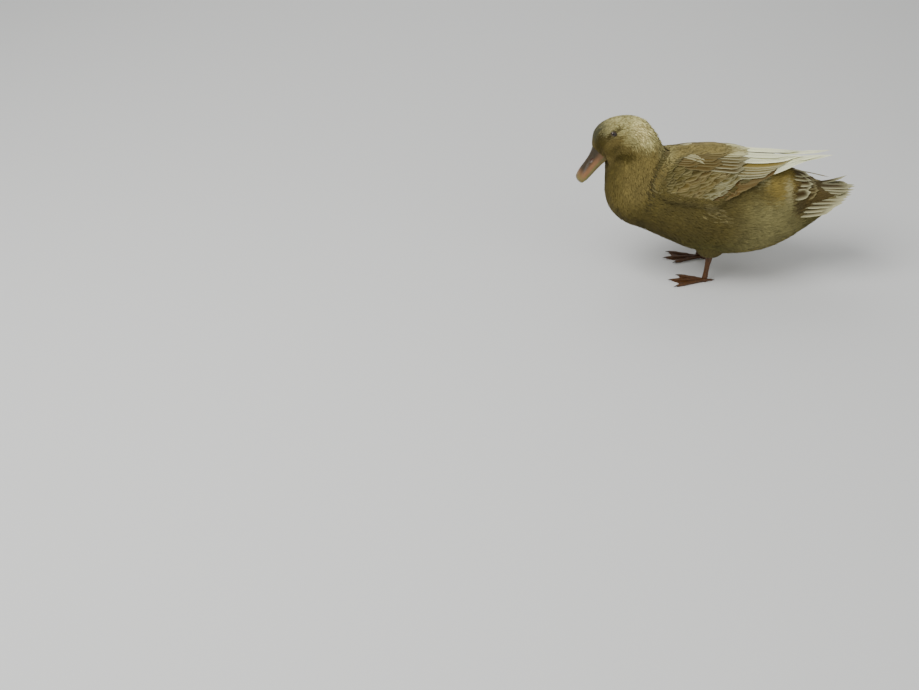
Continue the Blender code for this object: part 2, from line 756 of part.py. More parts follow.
def primary_tip(share):
    """The tips of the primaries step forward along the upper edge, the longest lying lowest."""
    first, last = WING_TIERS[0][3], WING_TIERS[0][5]
    return (
        first[0] + (last[0] - first[0]) * share**0.85,
        first[1] + (last[1] - first[1]) * share,
    )


def make_wing(tree, name, sign, parts, inflated):
    item = make_wing_plate(tree, name, sign, parts)
    pieces = bpy.data.collections.new("wing_feathers")
    add_vanes(tree, sign, pieces)
    fuse(item, pieces)
    apply_boolean(item, "DIFFERENCE", inflated, solver="MANIFOLD")
    keep_largest(item)


def fuse(item, pieces):
    apply_boolean(item, "UNION", group=pieces, solver="MANIFOLD")
    remove_objects(pieces.objects)
    bpy.data.collections.remove(pieces)


def tail_vane(index, sign):
    """One feather of the fan, counted from the middle outwards."""
    share = index / (len(TAIL_TIPS) - 1)
    root = TAIL_ROOT_IN.lerp(TAIL_ROOT_OUT, share)
    tip = Vector(TAIL_TIPS[index])
    if sign < 0:
        tip.z += TAIL_LEAN * share
    raised = ("left" if sign > 0 else "right", index) == RAISED_FEATHER[:2]
    centres, normals = [], []
    tilt = TAIL_ROLL * share
    normal = Vector((math.sin(tilt), 0, math.cos(tilt)))
    for along in VANE_SHARES:
        point = root.lerp(tip, along)
        if raised:
            point.z += RAISED_FEATHER[2] * along**2
        centres.append(mirrored(point, sign))
        normals.append(mirrored(normal, sign))
    return vane_mesh(centres, normals, TAIL_VANE, -VANE_ROLL * sign)


def make_tail(root, parts):
    item = add_object("tail", root, "tail", parts)
    pieces = bpy.data.collections.new("tail_feathers")
    for index in range(len(TAIL_TIPS)):
        for sign in (1, -1):
            add_object("rectrix", tail_vane(index, sign), None, pieces)
    for count, first, last, root_place, tip_place, half in TAIL_COVERTS:
        start, end = place_along(*root_place), place_along(*tip_place)
        for index in range(count):
            degrees = first + (last - first) * index / (count - 1)
            centres, normals = [], []
            for along in VANE_SHARES:
                height = COVERT_ROOT + (COVERT_TIP - COVERT_ROOT) * along
                point, normal = body_point(start + (end - start) * along, degrees, height)
                centres.append(point)
                normals.append(normal)
            add_object("covert", vane_mesh(centres, normals, half), None, pieces)
    fuse(item, pieces)
    centre, normal = cut_plane(TAIL_CUT)
    trim(item, centre - normal * GAP / 2, normal)
    keep_largest(item)


def trim(item, centre, normal):
    """Cuts away what lies on the side that the normal points to, and closes the cut."""
    mesh = bmesh.new()
    mesh.from_mesh(item.data)
    bmesh.ops.remove_doubles(mesh, verts=mesh.verts, dist=NARROW)
    keep_behind(mesh, centre, normal)
    mesh.to_mesh(item.data)
    mesh.free()


def circle(count):
    return [2 * math.pi * step / count for step in range(count)]


def upright_ring(centre, size, flat, count):
    ring = []
    for angle in circle(count):
        offset = Vector((size * flat * math.cos(angle), size * math.sin(angle), 0))
        ring.append(centre + offset)
    return ring


def make_thighs(parts, inflated):
    top, bottom = Vector((0, THIGH_Y, THIGH_TOP)), Vector((0, HOCK_Y, HOCK_Z))
    for name, sign in (("thigh_left", 1), ("thigh_right", -1)):
        rings = []
        for share in THIGH_SHARES:
            centre = top.lerp(bottom, share) + Vector((sign * LEG_X, 0, 0))
            size = THIGH_HALF * max(1 - share**2.2, 0) ** 0.5 + HOCK_HALF
            rings.append(upright_ring(centre, size, THIGH_FLAT, 14))
        item = add_object(name, loft(rings), "torso", parts)
        apply_boolean(item, "DIFFERENCE", inflated)
        keep_largest(item)


def make_legs(parts):
    top, bottom = Vector((0, HOCK_Y, HOCK_Z - GAP)), Vector((0, ANKLE_Y, ANKLE_Z))
    for name, sign in (("leg_left", 1), ("leg_right", -1)):
        rings = []
        for share, size in SHANK_SIZES:
            centre = top.lerp(bottom, share) + Vector((sign * LEG_X, 0, 0))
            rings.append(upright_ring(centre, size, SHANK_FLAT, 12))
        add_object(name, loft(rings), "leg", parts)


def toe_rings(start, end, radius):
    rings = []
    side = (end - start).cross(Vector((0, 0, 1))).normalized()
    for share, size in TOE_KNUCKLES:
        ring = []
        for angle in circle(8):
            offset = side * math.cos(angle) + Vector((0, 0, 1)) * math.sin(angle)
            ring.append(start.lerp(end, share) + offset * radius * size)
        rings.append(ring)
    return rings


def toe_tips(ankle, sign):
    tips = {}
    for toe, length in TOE_LENGTHS.items():
        angle = math.radians(TOE_SPREAD[toe]) * sign
        tips[toe] = ankle + Vector((math.sin(angle), -math.cos(angle), 0)) * length
        tips[toe].z = TOE_TIP_Z
    tips["hind"] = ankle + mirrored(HIND_TOE, sign)
    return tips


def web_mesh(ankle, tips):
    edge = [tips["inner"].copy()]
    for first, second in (("inner", "middle"), ("middle", "outer")):
        start, end = tips[first], tips[second]
        sag = ((start + end) / 2).lerp(ankle, WEB_SAG)
        edge.extend([start.lerp(sag, WEB_CORNER), sag, end.lerp(sag, WEB_CORNER), end.copy()])
    edge.append(ankle + Vector((0, HEEL, 0)))
    web = bmesh.new()
    low = [web.verts.new((point.x, point.y, WEB_UNDER)) for point in edge]
    high = [web.verts.new((point.x, point.y, WEB_THICK)) for point in edge]
    web.faces.new(low)
    web.faces.new(list(reversed(high)))
    for step in range(len(edge)):
        after = (step + 1) % len(edge)
        web.faces.new((low[step], high[step], high[after], low[after]))
    bmesh.ops.recalc_face_normals(web, faces=web.faces)
    return web


def make_feet(parts):
    """Webbed feet, each with a flat sole on the floor and a flat seat under its shank."""
    for name, sign in (("left", 1), ("right", -1)):
        ankle = Vector((sign * LEG_X, ANKLE_Y, 0.0))
        hub = ankle + Vector((0, 0, HUB_Z))
        tips = toe_tips(ankle, sign)
        item = add_object("foot_" + name, ball(hub, FOOT_HUB, 12, 8), "leg", parts)
        pieces = bpy.data.collections.new("foot_pieces")
        for toe, tip in tips.items():
            thick = TOE_RADIUS * (HIND_TOE_SIZE if toe == "hind" else 1.0)
            add_object("toe", loft(toe_rings(hub, tip, thick)), None, pieces)
        add_object("web", web_mesh(ankle, tips), None, pieces)
        apply_boolean(item, "UNION", group=pieces)
        remove_objects(pieces.objects)
        bpy.data.collections.remove(pieces)
        trim(item, Vector((0, 0, 0)), Vector((0, 0, -1)))
        trim(item, Vector((0, 0, ANKLE_Z - GAP)), Vector((0, 0, 1)))
        keep_largest(item)
        make_claws(name, ankle, tips, parts)


def make_claws(side, ankle, tips, parts):
    for toe, tip in tips.items():
        size = HIND_TOE_SIZE if toe == "hind" else 1.0
        forward = tip - ankle
        forward.z = 0
        forward.normalize()
        start = tip + forward * GAP
        across = forward.cross(Vector((0, 0, 1)))
        rings = []
        for share in (0.0, 0.3, 0.65, 1.0):
            centre = start + forward * CLAW_LENGTH * size * share
            centre.z += CLAW_RADIUS / 4 - CLAW_DROP * share**2
            width = CLAW_RADIUS * size * (1 - 0.8 * share)
            ring = []
            for angle in circle(8):
                offset = across * math.cos(angle) + Vector((0, 0, 1)) * math.sin(angle)
                ring.append(centre + offset * width)
            rings.append(ring)
        add_object("claw_" + toe + "_" + side, loft(rings), "claw", parts)


def centre_footprint(parts):
    for item in parts.objects:
        item.data.transform(Matrix.Translation((0, SHIFT_Y, 0)))


def main():
    clear_scene()
    parts = new_collection(COLLECTION_NAME)
    helpers = new_collection("helpers")
    made = make_trunk(parts)
    make_bill(parts, helpers)
    make_eyes(parts, helpers, made["head"])
    whole = add_helper("whole_body", body_mesh(), helpers)
    tree = tree_of(whole)
    inflated = add_helper("inflated_body", body_mesh(swell=BODY_CLEARANCE), helpers)
    make_wing(tree, "wing_left", 1, parts, inflated)
    make_wing(tree, "wing_right", -1, parts, inflated)
    make_tail(made["tail_root"], parts)
    make_thighs(parts, inflated)
    make_legs(parts)
    make_feet(parts)
    remove_objects([inflated, whole])
    centre_footprint(parts)


main()
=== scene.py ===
"""The looks of a Swedish Yellow duck hen: skin, feathers, bill, eyes and feet round its frame.

Metres, +Z up. The bird faces -Y and its left side is at +X. The floor is z = 0.
"""

import math

import bmesh
import bpy
import numpy as np
from bpy.props import FloatProperty, FloatVectorProperty, IntProperty, PointerProperty
from mathutils import Matrix, Vector
from mathutils.bvhtree import BVHTree


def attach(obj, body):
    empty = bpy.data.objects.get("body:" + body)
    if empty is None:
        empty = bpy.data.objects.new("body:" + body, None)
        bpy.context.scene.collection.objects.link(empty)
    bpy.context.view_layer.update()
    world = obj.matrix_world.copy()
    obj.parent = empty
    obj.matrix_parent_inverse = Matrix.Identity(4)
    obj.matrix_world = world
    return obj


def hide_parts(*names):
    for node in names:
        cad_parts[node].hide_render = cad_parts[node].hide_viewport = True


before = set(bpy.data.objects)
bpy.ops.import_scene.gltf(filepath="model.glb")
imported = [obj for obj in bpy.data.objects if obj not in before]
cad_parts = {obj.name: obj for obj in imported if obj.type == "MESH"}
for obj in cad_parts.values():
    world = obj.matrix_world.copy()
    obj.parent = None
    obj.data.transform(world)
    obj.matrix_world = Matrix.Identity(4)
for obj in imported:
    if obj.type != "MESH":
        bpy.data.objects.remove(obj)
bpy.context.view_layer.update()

bl_info = {
    "name": "Swedish Yellow Duck",
    "version": (1, 0, 0),
    "blender": (4, 5, 0),
    "location": "3D View > Sidebar > Duck",
    "description": "Dresses the frame of a standing duck with skin, feathers, bill, eyes and feet",
    "category": "Add Mesh",
}

BODY = "root"
SIDES = (("left", 1), ("right", -1))
SHIFT_Y = 0.0047  # the frame is centred on its footprint

# Rings of the body from the bill to the quills of the tail: the place, the upper edge (y, z),
# the lower edge (y, z), the half width, the fullness of the section, how far its widest level
# sits above the middle, and the share of the head's turn.
BODY_STATIONS = (
    ("bill base", -0.2386, 0.2636, -0.2118, 0.2368, 0.0120, 2.2, -0.10, 1.00),
    ("lores", -0.2384, 0.2790, -0.2093, 0.2342, 0.0158, 2.2, -0.15, 1.00),
    ("brow", -0.2350, 0.2935, -0.2098, 0.2312, 0.0190, 2.2, -0.20, 1.00),
    ("forehead", -0.2250, 0.3055, -0.2096, 0.2290, 0.0216, 2.2, -0.24, 1.00),
    ("eye", -0.2092, 0.3140, -0.2098, 0.2265, 0.0234, 2.2, -0.26, 1.00),
    ("crown", -0.1775, 0.3178, -0.2100, 0.2220, 0.0248, 2.2, -0.22, 0.85),
    ("back of crown", -0.1490, 0.3105, -0.2096, 0.2145, 0.0258, 2.2, -0.14, 0.60),
    ("nape", -0.1285, 0.2915, -0.2092, 0.2050, 0.0268, 2.2, -0.06, 0.35),
    ("low nape", -0.1140, 0.2690, -0.2088, 0.1935, 0.0310, 2.2, -0.04, 0.15),
    ("neck base", -0.1035, 0.2510, -0.2085, 0.1795, 0.0400, 2.2, -0.04, 0.04),
    ("shoulders", -0.0940, 0.2425, -0.2075, 0.1620, 0.0530, 2.2, -0.05, 0.00),
    ("breast", -0.0815, 0.2412, -0.2000, 0.1385, 0.0680, 2.2, -0.06, 0.00),
    ("low breast", -0.0650, 0.2425, -0.1800, 0.1185, 0.0790, 2.2, -0.08, 0.00),
    ("keel", -0.0430, 0.2445, -0.1450, 0.1045, 0.0870, 2.2, -0.08, 0.00),
    ("wing root", -0.0150, 0.2455, -0.1000, 0.0840, 0.0915, 2.2, -0.08, 0.00),
    ("belly", 0.0150, 0.2445, -0.0500, 0.0620, 0.0935, 2.2, -0.08, 0.00),
    ("hips", 0.0430, 0.2395, 0.0000, 0.0525, 0.0925, 2.2, -0.08, 0.00),
    ("back", 0.0680, 0.2320, 0.0450, 0.0510, 0.0885, 2.1, -0.08, 0.00),
    ("rump", 0.0930, 0.2240, 0.0880, 0.0575, 0.0800, 2.1, -0.08, 0.00),
    ("stern", 0.1180, 0.2160, 0.1270, 0.0720, 0.0670, 2.1, -0.05, 0.00),
    ("vent", 0.1400, 0.2070, 0.1620, 0.0930, 0.0530, 2.1, 0.00, 0.00),
    ("tail root", 0.1580, 0.1970, 0.1900, 0.1130, 0.0430, 2.1, 0.10, 0.00),
    ("tail coverts", 0.1750, 0.1855, 0.2100, 0.1330, 0.0385, 2.1, 0.20, 0.00),
    ("quills", 0.1930, 0.1765, 0.2200, 0.1500, 0.0340, 2.1, 0.25, 0.00),
    ("quill ends", 0.2120, 0.1715, 0.2260, 0.1590, 0.0280, 2.1, 0.20, 0.00),
)
HEAD_TURN = math.radians(12)
TURN_CENTRE_Y = -0.150
GRID_ROWS, GRID_COLUMNS = 420, 192
SKIN_ROWS, SKIN_COLUMNS = 150, 72
SKIN_PAINT_STEPS = (140, 64)
SKIN_EDGE_SHARE = 0.3
POINTS_AT_ONCE = 2000

# How deep the skin lies under the outline, and the feathers on it, by place along the body:
# share of the way along, depth, feather length, distance between rows, half width and how far
# the tips stand off.
COAT = (
    (0.000, 0.0012, 0.0038, 0.0012, 0.00052, 0.0002),
    (0.050, 0.0014, 0.0049, 0.0013, 0.00062, 0.0003),
    (0.120, 0.0018, 0.0070, 0.0017, 0.00080, 0.0004),
    (0.180, 0.0024, 0.0098, 0.0023, 0.00110, 0.0005),
    (0.260, 0.0036, 0.0140, 0.0028, 0.00146, 0.0004),
    (0.360, 0.0050, 0.0180, 0.0031, 0.00166, 0.0004),
    (0.480, 0.0060, 0.0210, 0.0032, 0.00180, 0.0005),
    (0.700, 0.0064, 0.0240, 0.0032, 0.00190, 0.0006),
    (0.860, 0.0060, 0.0270, 0.0032, 0.00182, 0.0006),
    (1.000, 0.0040, 0.0320, 0.0036, 0.00182, 0.0005),
)
PATCH_WAVES = (
    (5.1, 2.3, 0.4),
    (-3.7, 4.9, 2.1),
    (8.3, -6.1, 4.0),
    (6.7, 9.1, 5.2),
    (-11.9, 3.1, 1.3),
    (2.9, -12.7, 3.3),
)
PATCH_SIZE, PATCH_CONTRAST = 9.0, 0.16
COAT_ZONES = (
    ("face", 0.0, 0.055),
    ("head", 0.055, 0.120),
    ("nape", 0.120, 0.200),
    ("neck", 0.200, 0.285),
    ("breast", 0.285, 0.42),
    ("belly", 0.42, 0.60),
    ("rear", 0.60, 0.76),
    ("rump", 0.76, 0.985),
)
COAT_PATCH = 0.003  # side of a feather's patch on the unwrap
UNWRAP_MARGIN, UNWRAP_LONG, UNWRAP_ROUND = 0.02, 0.96, 0.70

# How the body feathers lie: the distance between neighbours in half widths, how far roots stray
# from their row and from their place in it, how deep in the coat they root, how the vanes rise
# to their tips, and how much they differ.
ROOT_SPACING = 1.7
ROOT_SCATTER = (0.4, 0.35)
ROOT_DEPTH, COAT_CURVE, TIP_STANDS = 0.8, 0.6, 0.0002
DRIFT_CURVE = 1.5  # how late a feather that drifts off its line does so
COAT_SPREAD = {"length": 0.14, "drift": 0.13, "width": 0.12, "roll": 0.10, "tint": 0.09}
COAT_THICK, COAT_THIN = 0.022, 0.0004  # thickness in lengths, and the least one in metres
COAT_PROBES, LEAST_IN_RING = 24, 8
SEEN_SHARE = 0.6  # where along a feather its colour is read

# Spots on the body, each with its start, end and softness along the body, from 0 at the bill to
# 1 at the quills, and the same from the upper edge, 0, down to the lower one, 1.
ALL_OVER = (-1, 2, 0.1)
NAPE = ((0.13, 0.21, 0.02), (-1, 0.22, 0.12))
NAPE_RISE = 0.0012  # how much further the feathers at the back of the head stand off
TUFT = ((0.70, 0.805, 0.012), (0.10, 0.31, 0.04))
TUFT_RISE = 0.0030  # how far the soft tuft over each flank of the rump stands off
# The groove in front of the wing: the place down the body, and along it where the groove lies.
GROOVE = ((0.0, 0.240), (0.16, 0.246), (0.34, 0.262), (0.46, 0.304), (0.60, 0.360))
GROOVE_SPOT = ((-0.010, 0.006, 0.006), (0.10, 0.54, 0.04))
GROOVE_DEEP = 0.0020
# The groove's darkening is painted shade.
GROOVE_SHADE = (0.30, 0.35)  # how dark the groove is at the top, and how much darker below
GROOVE_DARKENS = (0.20, 0.36)
OVERLAP_RISE = 0.0008  # how far the flank feathers over the wing stand off it
# How dark the painted shadow of the wing is on the feathers beside it.
OVERLAP_SHADE = 0.45
# How far ahead of the wing's front the cover begins, how far behind it it is full, and how many
# degrees below the wing it ends: for the feathers over the wing and for the shade beside it.
OVERLAP_COVER, SHADE_COVER, UNSHADED_COVER = (0.002, 0.008, 4), (-0.0039, 0.004, 5), (0.004, 0.012)
MANTLE, MANTLE_ANGLE = (0.36, 0.74, 0.03), (7, 15)  # where the back is raised to the wings

# The part of the body that the wing covers: how softly its lower edge and its end go, and how
# far inside the wing's outline feathers are left out.
COVER_SOFT, COVER_END = 3, (-0.02, 0.01)
BARE_FRONT, BARE_LOW, BARE_TOP, BARE_END = 0.016, 6, 12, 0.025

# Envelope in which the folded wings lie: y, top z, half width, centre z.
WING_ENVELOPE = (
    (0.020, 0.2520, 0.0985, 0.155),
    (0.050, 0.2465, 0.0920, 0.157),
    (0.080, 0.2440, 0.0780, 0.165),
    (0.110, 0.2425, 0.0600, 0.182),
    (0.140, 0.2418, 0.0430, 0.205),
    (0.175, 0.2435, 0.0300, 0.222),
    (0.205, 0.2462, 0.0200, 0.232),
)
WING_LIFT = 0.0065
WING_FRONT = ((4, -0.096), (18, -0.110), (28, -0.119), (40, -0.127), (56, -0.127), (76, -0.106))
WING_LOW = (
    (-0.127, 64),
    (-0.060, 71),
    (-0.004, 70),
    (0.012, 60),
    (0.030, 50),
    (0.050, 43),
    (0.083, 36),
    (0.112, 32),
)
WING_GRID_Y = (-0.135, 0.215)
WING_GRID_ANGLE = (0.0, 96.0)
WING_GRID_STEPS = (110, 64)
WING_RAY_STEPS = (160, 96)
WING_CLEARANCE = 0.0012
WING_END_Y = 0.108
BED_STEPS = (48, 30)
BED_TOP_ANGLE = 6.0
BED_FRONT, BED_REAR, BED_LOW = 0.006, 0.004, 3  # how far its edges lie inside the feathers'
BED_SUNK, BED_ROLL, BED_THICK = 0.0046, 0.0016, 0.0016
BED_RIM, BED_CLEARANCE = 0.2, 0.001  # the share that rolls down, and the gap between the sides
BED_BLEND, BED_RUST_TONE = (0.35, 0.55), 0.8
MAP_MARGIN = 0.05
WING_BEND = {"pale scapular": 1.9}  # how late a tier's feathers turn down
# Each feather's root is darkened by painted shade where the feathers before it lie over it; the last number
# is how much of its colour the root keeps.
FEATHER_EDGES = {  # how narrow the pale margin is, how pale the tip, how light the root
    "primary": (2.0, 0.9, 0.85),
    "secondary": (2.4, 0.5, 0.80),
    "low tertial": (4.0, 0.4, 0.70),
    "high tertial": (2.0, 0.9, 0.45),
    "low greater": (2.2, 0.65, 0.75),
    "high greater": (2.2, 0.60, 0.75),
    "rear scapular": (5.0, 0.50, 0.80),
    "middle scapular": (5.0, 0.45, 0.80),
    "front scapular": (4.0, 0.50, 0.80),
    "nape scapular": (2.5, 0.60, 0.85),
    "pale scapular": (1.0, 0.90, 0.70),
}
TIP_SPREAD = {"secondary": 0.0015, "tertial": 0.0015, "scapular": 0.0050}
OTHER_TIP_SPREAD, ROOT_SPREAD = 0.0034, 0.0015
OTHER_EDGES = (1.9, 0.60, 0.80)
WING_BOW = 1.2  # how far a wing feather bows down in the middle, in degrees
WING_ROLL = -0.11  # how far each feather is rolled on its middle line, in radians
WING_WANDER = 0.12  # how uneven places and widths are
WING_LAYER, WING_CURVE = 0.0001, 0.8  # how uneven the tips' heights are, how they rise
WING_SPREAD = {"roll": 0.006, "colour": 0.35, "tint": 0.14, "edging": 0.15}
PRIMARY_CROWDING, SCAPULAR_BLEND = 1.4, 3.5

# Tiers of a wing's feathers: count, then for the first and the last of them the root and the
# tip (y and the angle from the back in degrees), half width, heights of root and tip, shape,
# the colours of the first and last one's centre, the colour of the edges and its strength.
WING_TIERS = (
    ("primary", 8, (0.060, 39), (0.206, 20), (0.046, 22), (0.166, 10))
    + (0.0102, -0.0042, -0.0026, "pointed", "flight", "flight", "white", 0.7),
    # The secondaries' centres are their own orange-buff, darkened as painted shade of the tertials over
    # them.
    ("secondary", 11, (-0.036, 68), (0.016, 62), (0.022, 44), (0.100, 36))
    + (0.0088, -0.0044, -0.0022, "long", "rust", "rust", "straw", 0.42),
    ("low tertial", 5, (0.004, 39), (0.088, 36.5), (-0.002, 25), (0.130, 23))
    + (0.0105, -0.0036, -0.0006, "long", "brown", "rump", "cream", 0.75),
    ("high tertial", 5, (-0.004, 18), (0.150, 15), (-0.018, 5), (0.124, 5))
    + (0.0115, -0.0032, 0.0004, "long", "flight", "flight", "white", 0.8),
    ("low greater", 13, (-0.062, 67), (-0.010, 64.5), (0.004, 40), (0.050, 35.5))
    + (0.0074, -0.0040, -0.0012, "covert", "covert", "covert", "cream", 0.46),
    ("high greater", 13, (-0.072, 67), (-0.024, 65), (-0.008, 40), (0.038, 34))
    + (0.0074, -0.0036, -0.0009, "covert", "covert", "covert", "cream", 0.44),
    ("low median", 12, (-0.080, 66), (-0.038, 65), (-0.020, 38), (0.024, 32))
    + (0.0076, -0.0034, -0.0007, "covert", "covert", "brown", "straw", 0.70),
    ("high median", 13, (-0.088, 66), (-0.049, 65), (-0.032, 36), (0.008, 30))
    + (0.0074, -0.0032, -0.0005, "covert", "brown", "covert", "straw", 0.65),
    ("low lesser", 13, (-0.096, 65), (-0.060, 65), (-0.044, 35), (-0.008, 28))
    + (0.0072, -0.0031, -0.0003, "covert", "covert", "brown", "straw", 0.60),
    ("middle lesser", 13, (-0.105, 64), (-0.073, 65), (-0.058, 33), (-0.024, 26))
    + (0.0068, -0.0030, -0.0002, "covert", "brown", "covert", "straw", 0.60),
    ("high lesser", 13, (-0.114, 62), (-0.086, 64), (-0.074, 30), (-0.042, 24))
    + (0.0064, -0.0030, -0.0001, "covert", "covert", "buff", "straw", 0.60),
    ("marginal", 13, (-0.121, 59), (-0.098, 63), (-0.090, 27), (-0.060, 22))
    + (0.0058, -0.0030, 0.0000, "covert", "buff", "covert", "straw", 0.50),
    ("front", 12, (-0.126, 54), (-0.109, 60), (-0.104, 24), (-0.078, 20))
    + (0.0052, -0.0026, 0.0007, "covert", "buff", "buff", "straw", 0.45),
    ("foremost", 11, (-0.128, 50), (-0.117, 56), (-0.112, 21), (-0.092, 18))
    + (0.0046, -0.0022, 0.0010, "covert", "buff", "buff", "straw", 0.40),
    ("rear scapular", 7, (-0.045, 29), (0.032, 34), (-0.040, 6), (0.054, 8))
    + (0.0112, -0.0028, 0.0006, "long", "brown", "back", "cream", 0.60),
    ("middle scapular", 7, (-0.074, 26), (-0.008, 33), (-0.068, 6), (0.014, 8))
    + (0.0110, -0.0026, 0.0009, "long", "brown", "tan", "straw", 0.60),
    ("front scapular", 7, (-0.096, 20), (-0.044, 29), (-0.090, 5), (-0.024, 7))
    + (0.0090, -0.0024, 0.0010, "broad", "brown", "tan", "straw", 0.60),
    ("nape scapular", 6, (-0.106, 16), (-0.072, 22), (-0.100, 5), (-0.058, 6))
    + (0.0080, -0.0024, 0.0010, "broad", "buff", "tan", "straw", 0.50),
    ("pale scapular", 3, (-0.086, 12), (-0.036, 30), (-0.078, 6), (-0.044, 19))
    + (0.0048, -0.0010, 0.0013, "broad", "straw", "straw", "cream", 0.60),
)

# The tail's feathers from the middle one outwards: tip x, y and z.
TAIL_TIPS = (
    (0.0045, 0.2563, 0.1772),
    (0.0135, 0.2500, 0.1728),
    (0.0225, 0.2450, 0.1698),
    (0.0315, 0.2385, 0.1678),
    (0.0405, 0.2305, 0.1650),
    (0.0490, 0.2190, 0.1610),
    (0.0560, 0.2050, 0.1555),
)
TAIL_ROOTS = (  # share of the way from the middle feather to the outermost, x, y and z
    (0.00, 0.0050, 0.180, 0.1780),
    (0.25, 0.0170, 0.168, 0.1780),
    (0.50, 0.0320, 0.152, 0.1700),
    (0.75, 0.0430, 0.145, 0.1560),
    (1.00, 0.0470, 0.140, 0.1400),
)
TAIL_ROLL = math.radians(32)
TAIL_LEAN = 0.004
TAIL_PAIRS = 9
TAIL_HALF = 0.0078
TAIL_STAGGER, TAIL_SAG = 0.0006, 0.002
TAIL_SPREAD = {"tip": 0.0008, "tint": 0.08}
TAIL_MAP, TAIL_MAP_HALF, STRAY_MAP = (0.5, 0.1), 0.4, (0.5, 0.25)
RAISED_FEATHER = ("right", 3, 0.0165)
STRAY_FEATHER = ((-0.030, 0.148, 0.1960), (-0.030, 0.185, 0.1885), (-0.030, 0.219, 0.1800))
STRAY_FACING = (0.0, 0.2, 1.0)
STRAY_HALF = 0.0024

# Rows of longer feathers on the body: count, first and last angle around it, place along it,
# length, half width, how far the tips stand off, and the colours of centre and edge.
BODY_ROWS = (
    (11, -58, 58, 0.800, 0.046, 0.0096, 0.0046, "tail", "cream"),
    (11, -62, 62, 0.845, 0.046, 0.0096, 0.0020, "tail", "straw"),
    (9, 112, 248, 0.900, 0.055, 0.0105, 0.0012, "rear", "straw"),
    (8, 118, 242, 0.940, 0.050, 0.0095, 0.0010, "tail", "cream"),
)
ROW_ROOT, ROW_CURVE = 0.0030, 1.3  # how deep the longer feathers root, and how late they rise
ROW_RISE = (0.7, 1.3)
ROW_MAP = ((1, 0.9), (0, 0.1))  # how its map is squeezed and moved
ROW_SPREAD = {"around": 0.004, "place": 0.006, "length": 0.07, "tint": 0.08}

# Shape of a vane: width at the root, share where it is widest, share where the tip starts, and
# how far it narrows.
FEATHER_SHAPES = {
    "body": (0.55, 0.40, 0.38, 0.10),
    "broad": (0.50, 0.50, 0.62, 0.0),
    "covert": (0.60, 0.40, 0.72, 0.20),
    "long": (0.45, 0.30, 0.80, 0.08),
    "pointed": (0.50, 0.25, 0.82, 0.26),
}
SMALL_STATIONS = (0.0, 0.28, 0.56, 0.80, 1.0)
LARGE_STATIONS = (0.0, 0.09, 0.18, 0.28, 0.38, 0.48, 0.58, 0.67, 0.76, 0.84, 0.90, 0.95, 0.98, 1.0)
SMALL_ACROSS = ((-1, 0, 1), (0,))
LARGE_ACROSS = ((-1, -0.75, -0.5, -0.25, 0, 0.25, 0.5, 0.75, 1), (0.6, 0, -0.6))
TIP_BLUNT = 0.985
VANE_SWEEP = 0.10  # how far the sides of a vane lie behind its middle
SHAFT_SHADE = 0.18
TINT_SPREAD = 0.05
# Where the pale tip is full, and where the painted shade at a feather's root has faded out.
TIP_PALE_END, ROOT_SHADE_END = 0.98, 0.55
BARB_SLANT, BARB_SHADE, GRAIN_SHADE = 1.3, 0.07, 0.34

BILL_BASE = np.array((0.0, -0.2237, 0.2527))
BILL_TIP = np.array((0.0, -0.2657, 0.2002))
UPPER_BILL = (  # share of the way to the tip, ridge height, edge height, half width
    (-0.17, 0.0235, -0.0135, 0.0120),
    (0.00, 0.0178, -0.0118, 0.0120),
    (0.13, 0.0140, -0.0106, 0.0119),
    (0.27, 0.0112, -0.0094, 0.0122),
    (0.43, 0.0096, -0.0084, 0.0131),
    (0.59, 0.0084, -0.0076, 0.0146),
    (0.73, 0.0072, -0.0071, 0.0156),
    (0.86, 0.0053, -0.0068, 0.0152),
    (0.95, 0.0030, -0.0066, 0.0122),
    (0.985, 0.0000, -0.0064, 0.0075),
    (1.00, -0.0030, -0.0062, 0.0030),
)
LOWER_BILL = (  # share of the way to the tip, edge height, keel height, half width
    (-0.15, -0.0135, -0.0235, 0.0108),
    (0.05, -0.0114, -0.0200, 0.0108),
    (0.20, -0.0100, -0.0178, 0.0108),
    (0.37, -0.0087, -0.0158, 0.0112),
    (0.57, -0.0077, -0.0140, 0.0126),
    (0.74, -0.0071, -0.0122, 0.0137),
    (0.87, -0.0068, -0.0106, 0.0125),
    (0.94, -0.0066, -0.0092, 0.0080),
    (0.97, -0.0065, -0.0080, 0.0035),
)
BILL_ROWS, BILL_COLUMNS, BILL_FLOOR = 90, 56, 9
BILL_CROWDING = 1.4  # how much closer the rings are near the tip
# How full the sections of the two halves are, across and in height, and where their flat sides
# that face each other lie, from the edge.
UPPER_SECTION, LOWER_SECTION = (0.82, 0.78), (0.70, 0.60)
UPPER_ROOF, LOWER_ROOF = 0.0010, -0.0004
FLOOR_WIDTH = 0.94
MOUTH_GAP = 0.0006
NOSTRIL_PLACE = (0.30, 0.0062)
NOSTRIL_HALF = (0.0046, 0.0022)
NOSTRIL_DEEP, NOSTRIL_STEEP = 0.0020, 2.2
NOSTRIL_RIM, RIM_PLACE, RIM_SOFT = 0.0003, 1.25, 0.06
NAIL_PLACE = 0.945
NAIL_HALF = (0.0075, 0.0050)
NAIL_RISE, NAIL_STEEP = 0.0005, 3
LIP_PLACE, LIP_SOFT, LIP_ROLL = 0.0008, 0.0000008, 0.02
BILL_BLOTCH = 0.03

# Eyes: their place on the head before its turn, the ball, and the rim of the lids.
EYE_Y, EYE_Z = -0.2051, 0.2926
EYE_RADIUS = 0.0060
EYE_SUNK = 0.0040
EYE_STEPS = (48, 32)
EYE_RAY_STEPS, EYE_RAY_START = (240, 128), 0.08
LID_WIDE, LID_HIGH, LID_THICK = 0.0055, 0.0039, 0.0008
LID_STEPS = (64, 12)
LID_POINTED, LID_SINK, LID_BROW = 1.3, 0.35, 0.3
LID_TILT = math.radians(20)
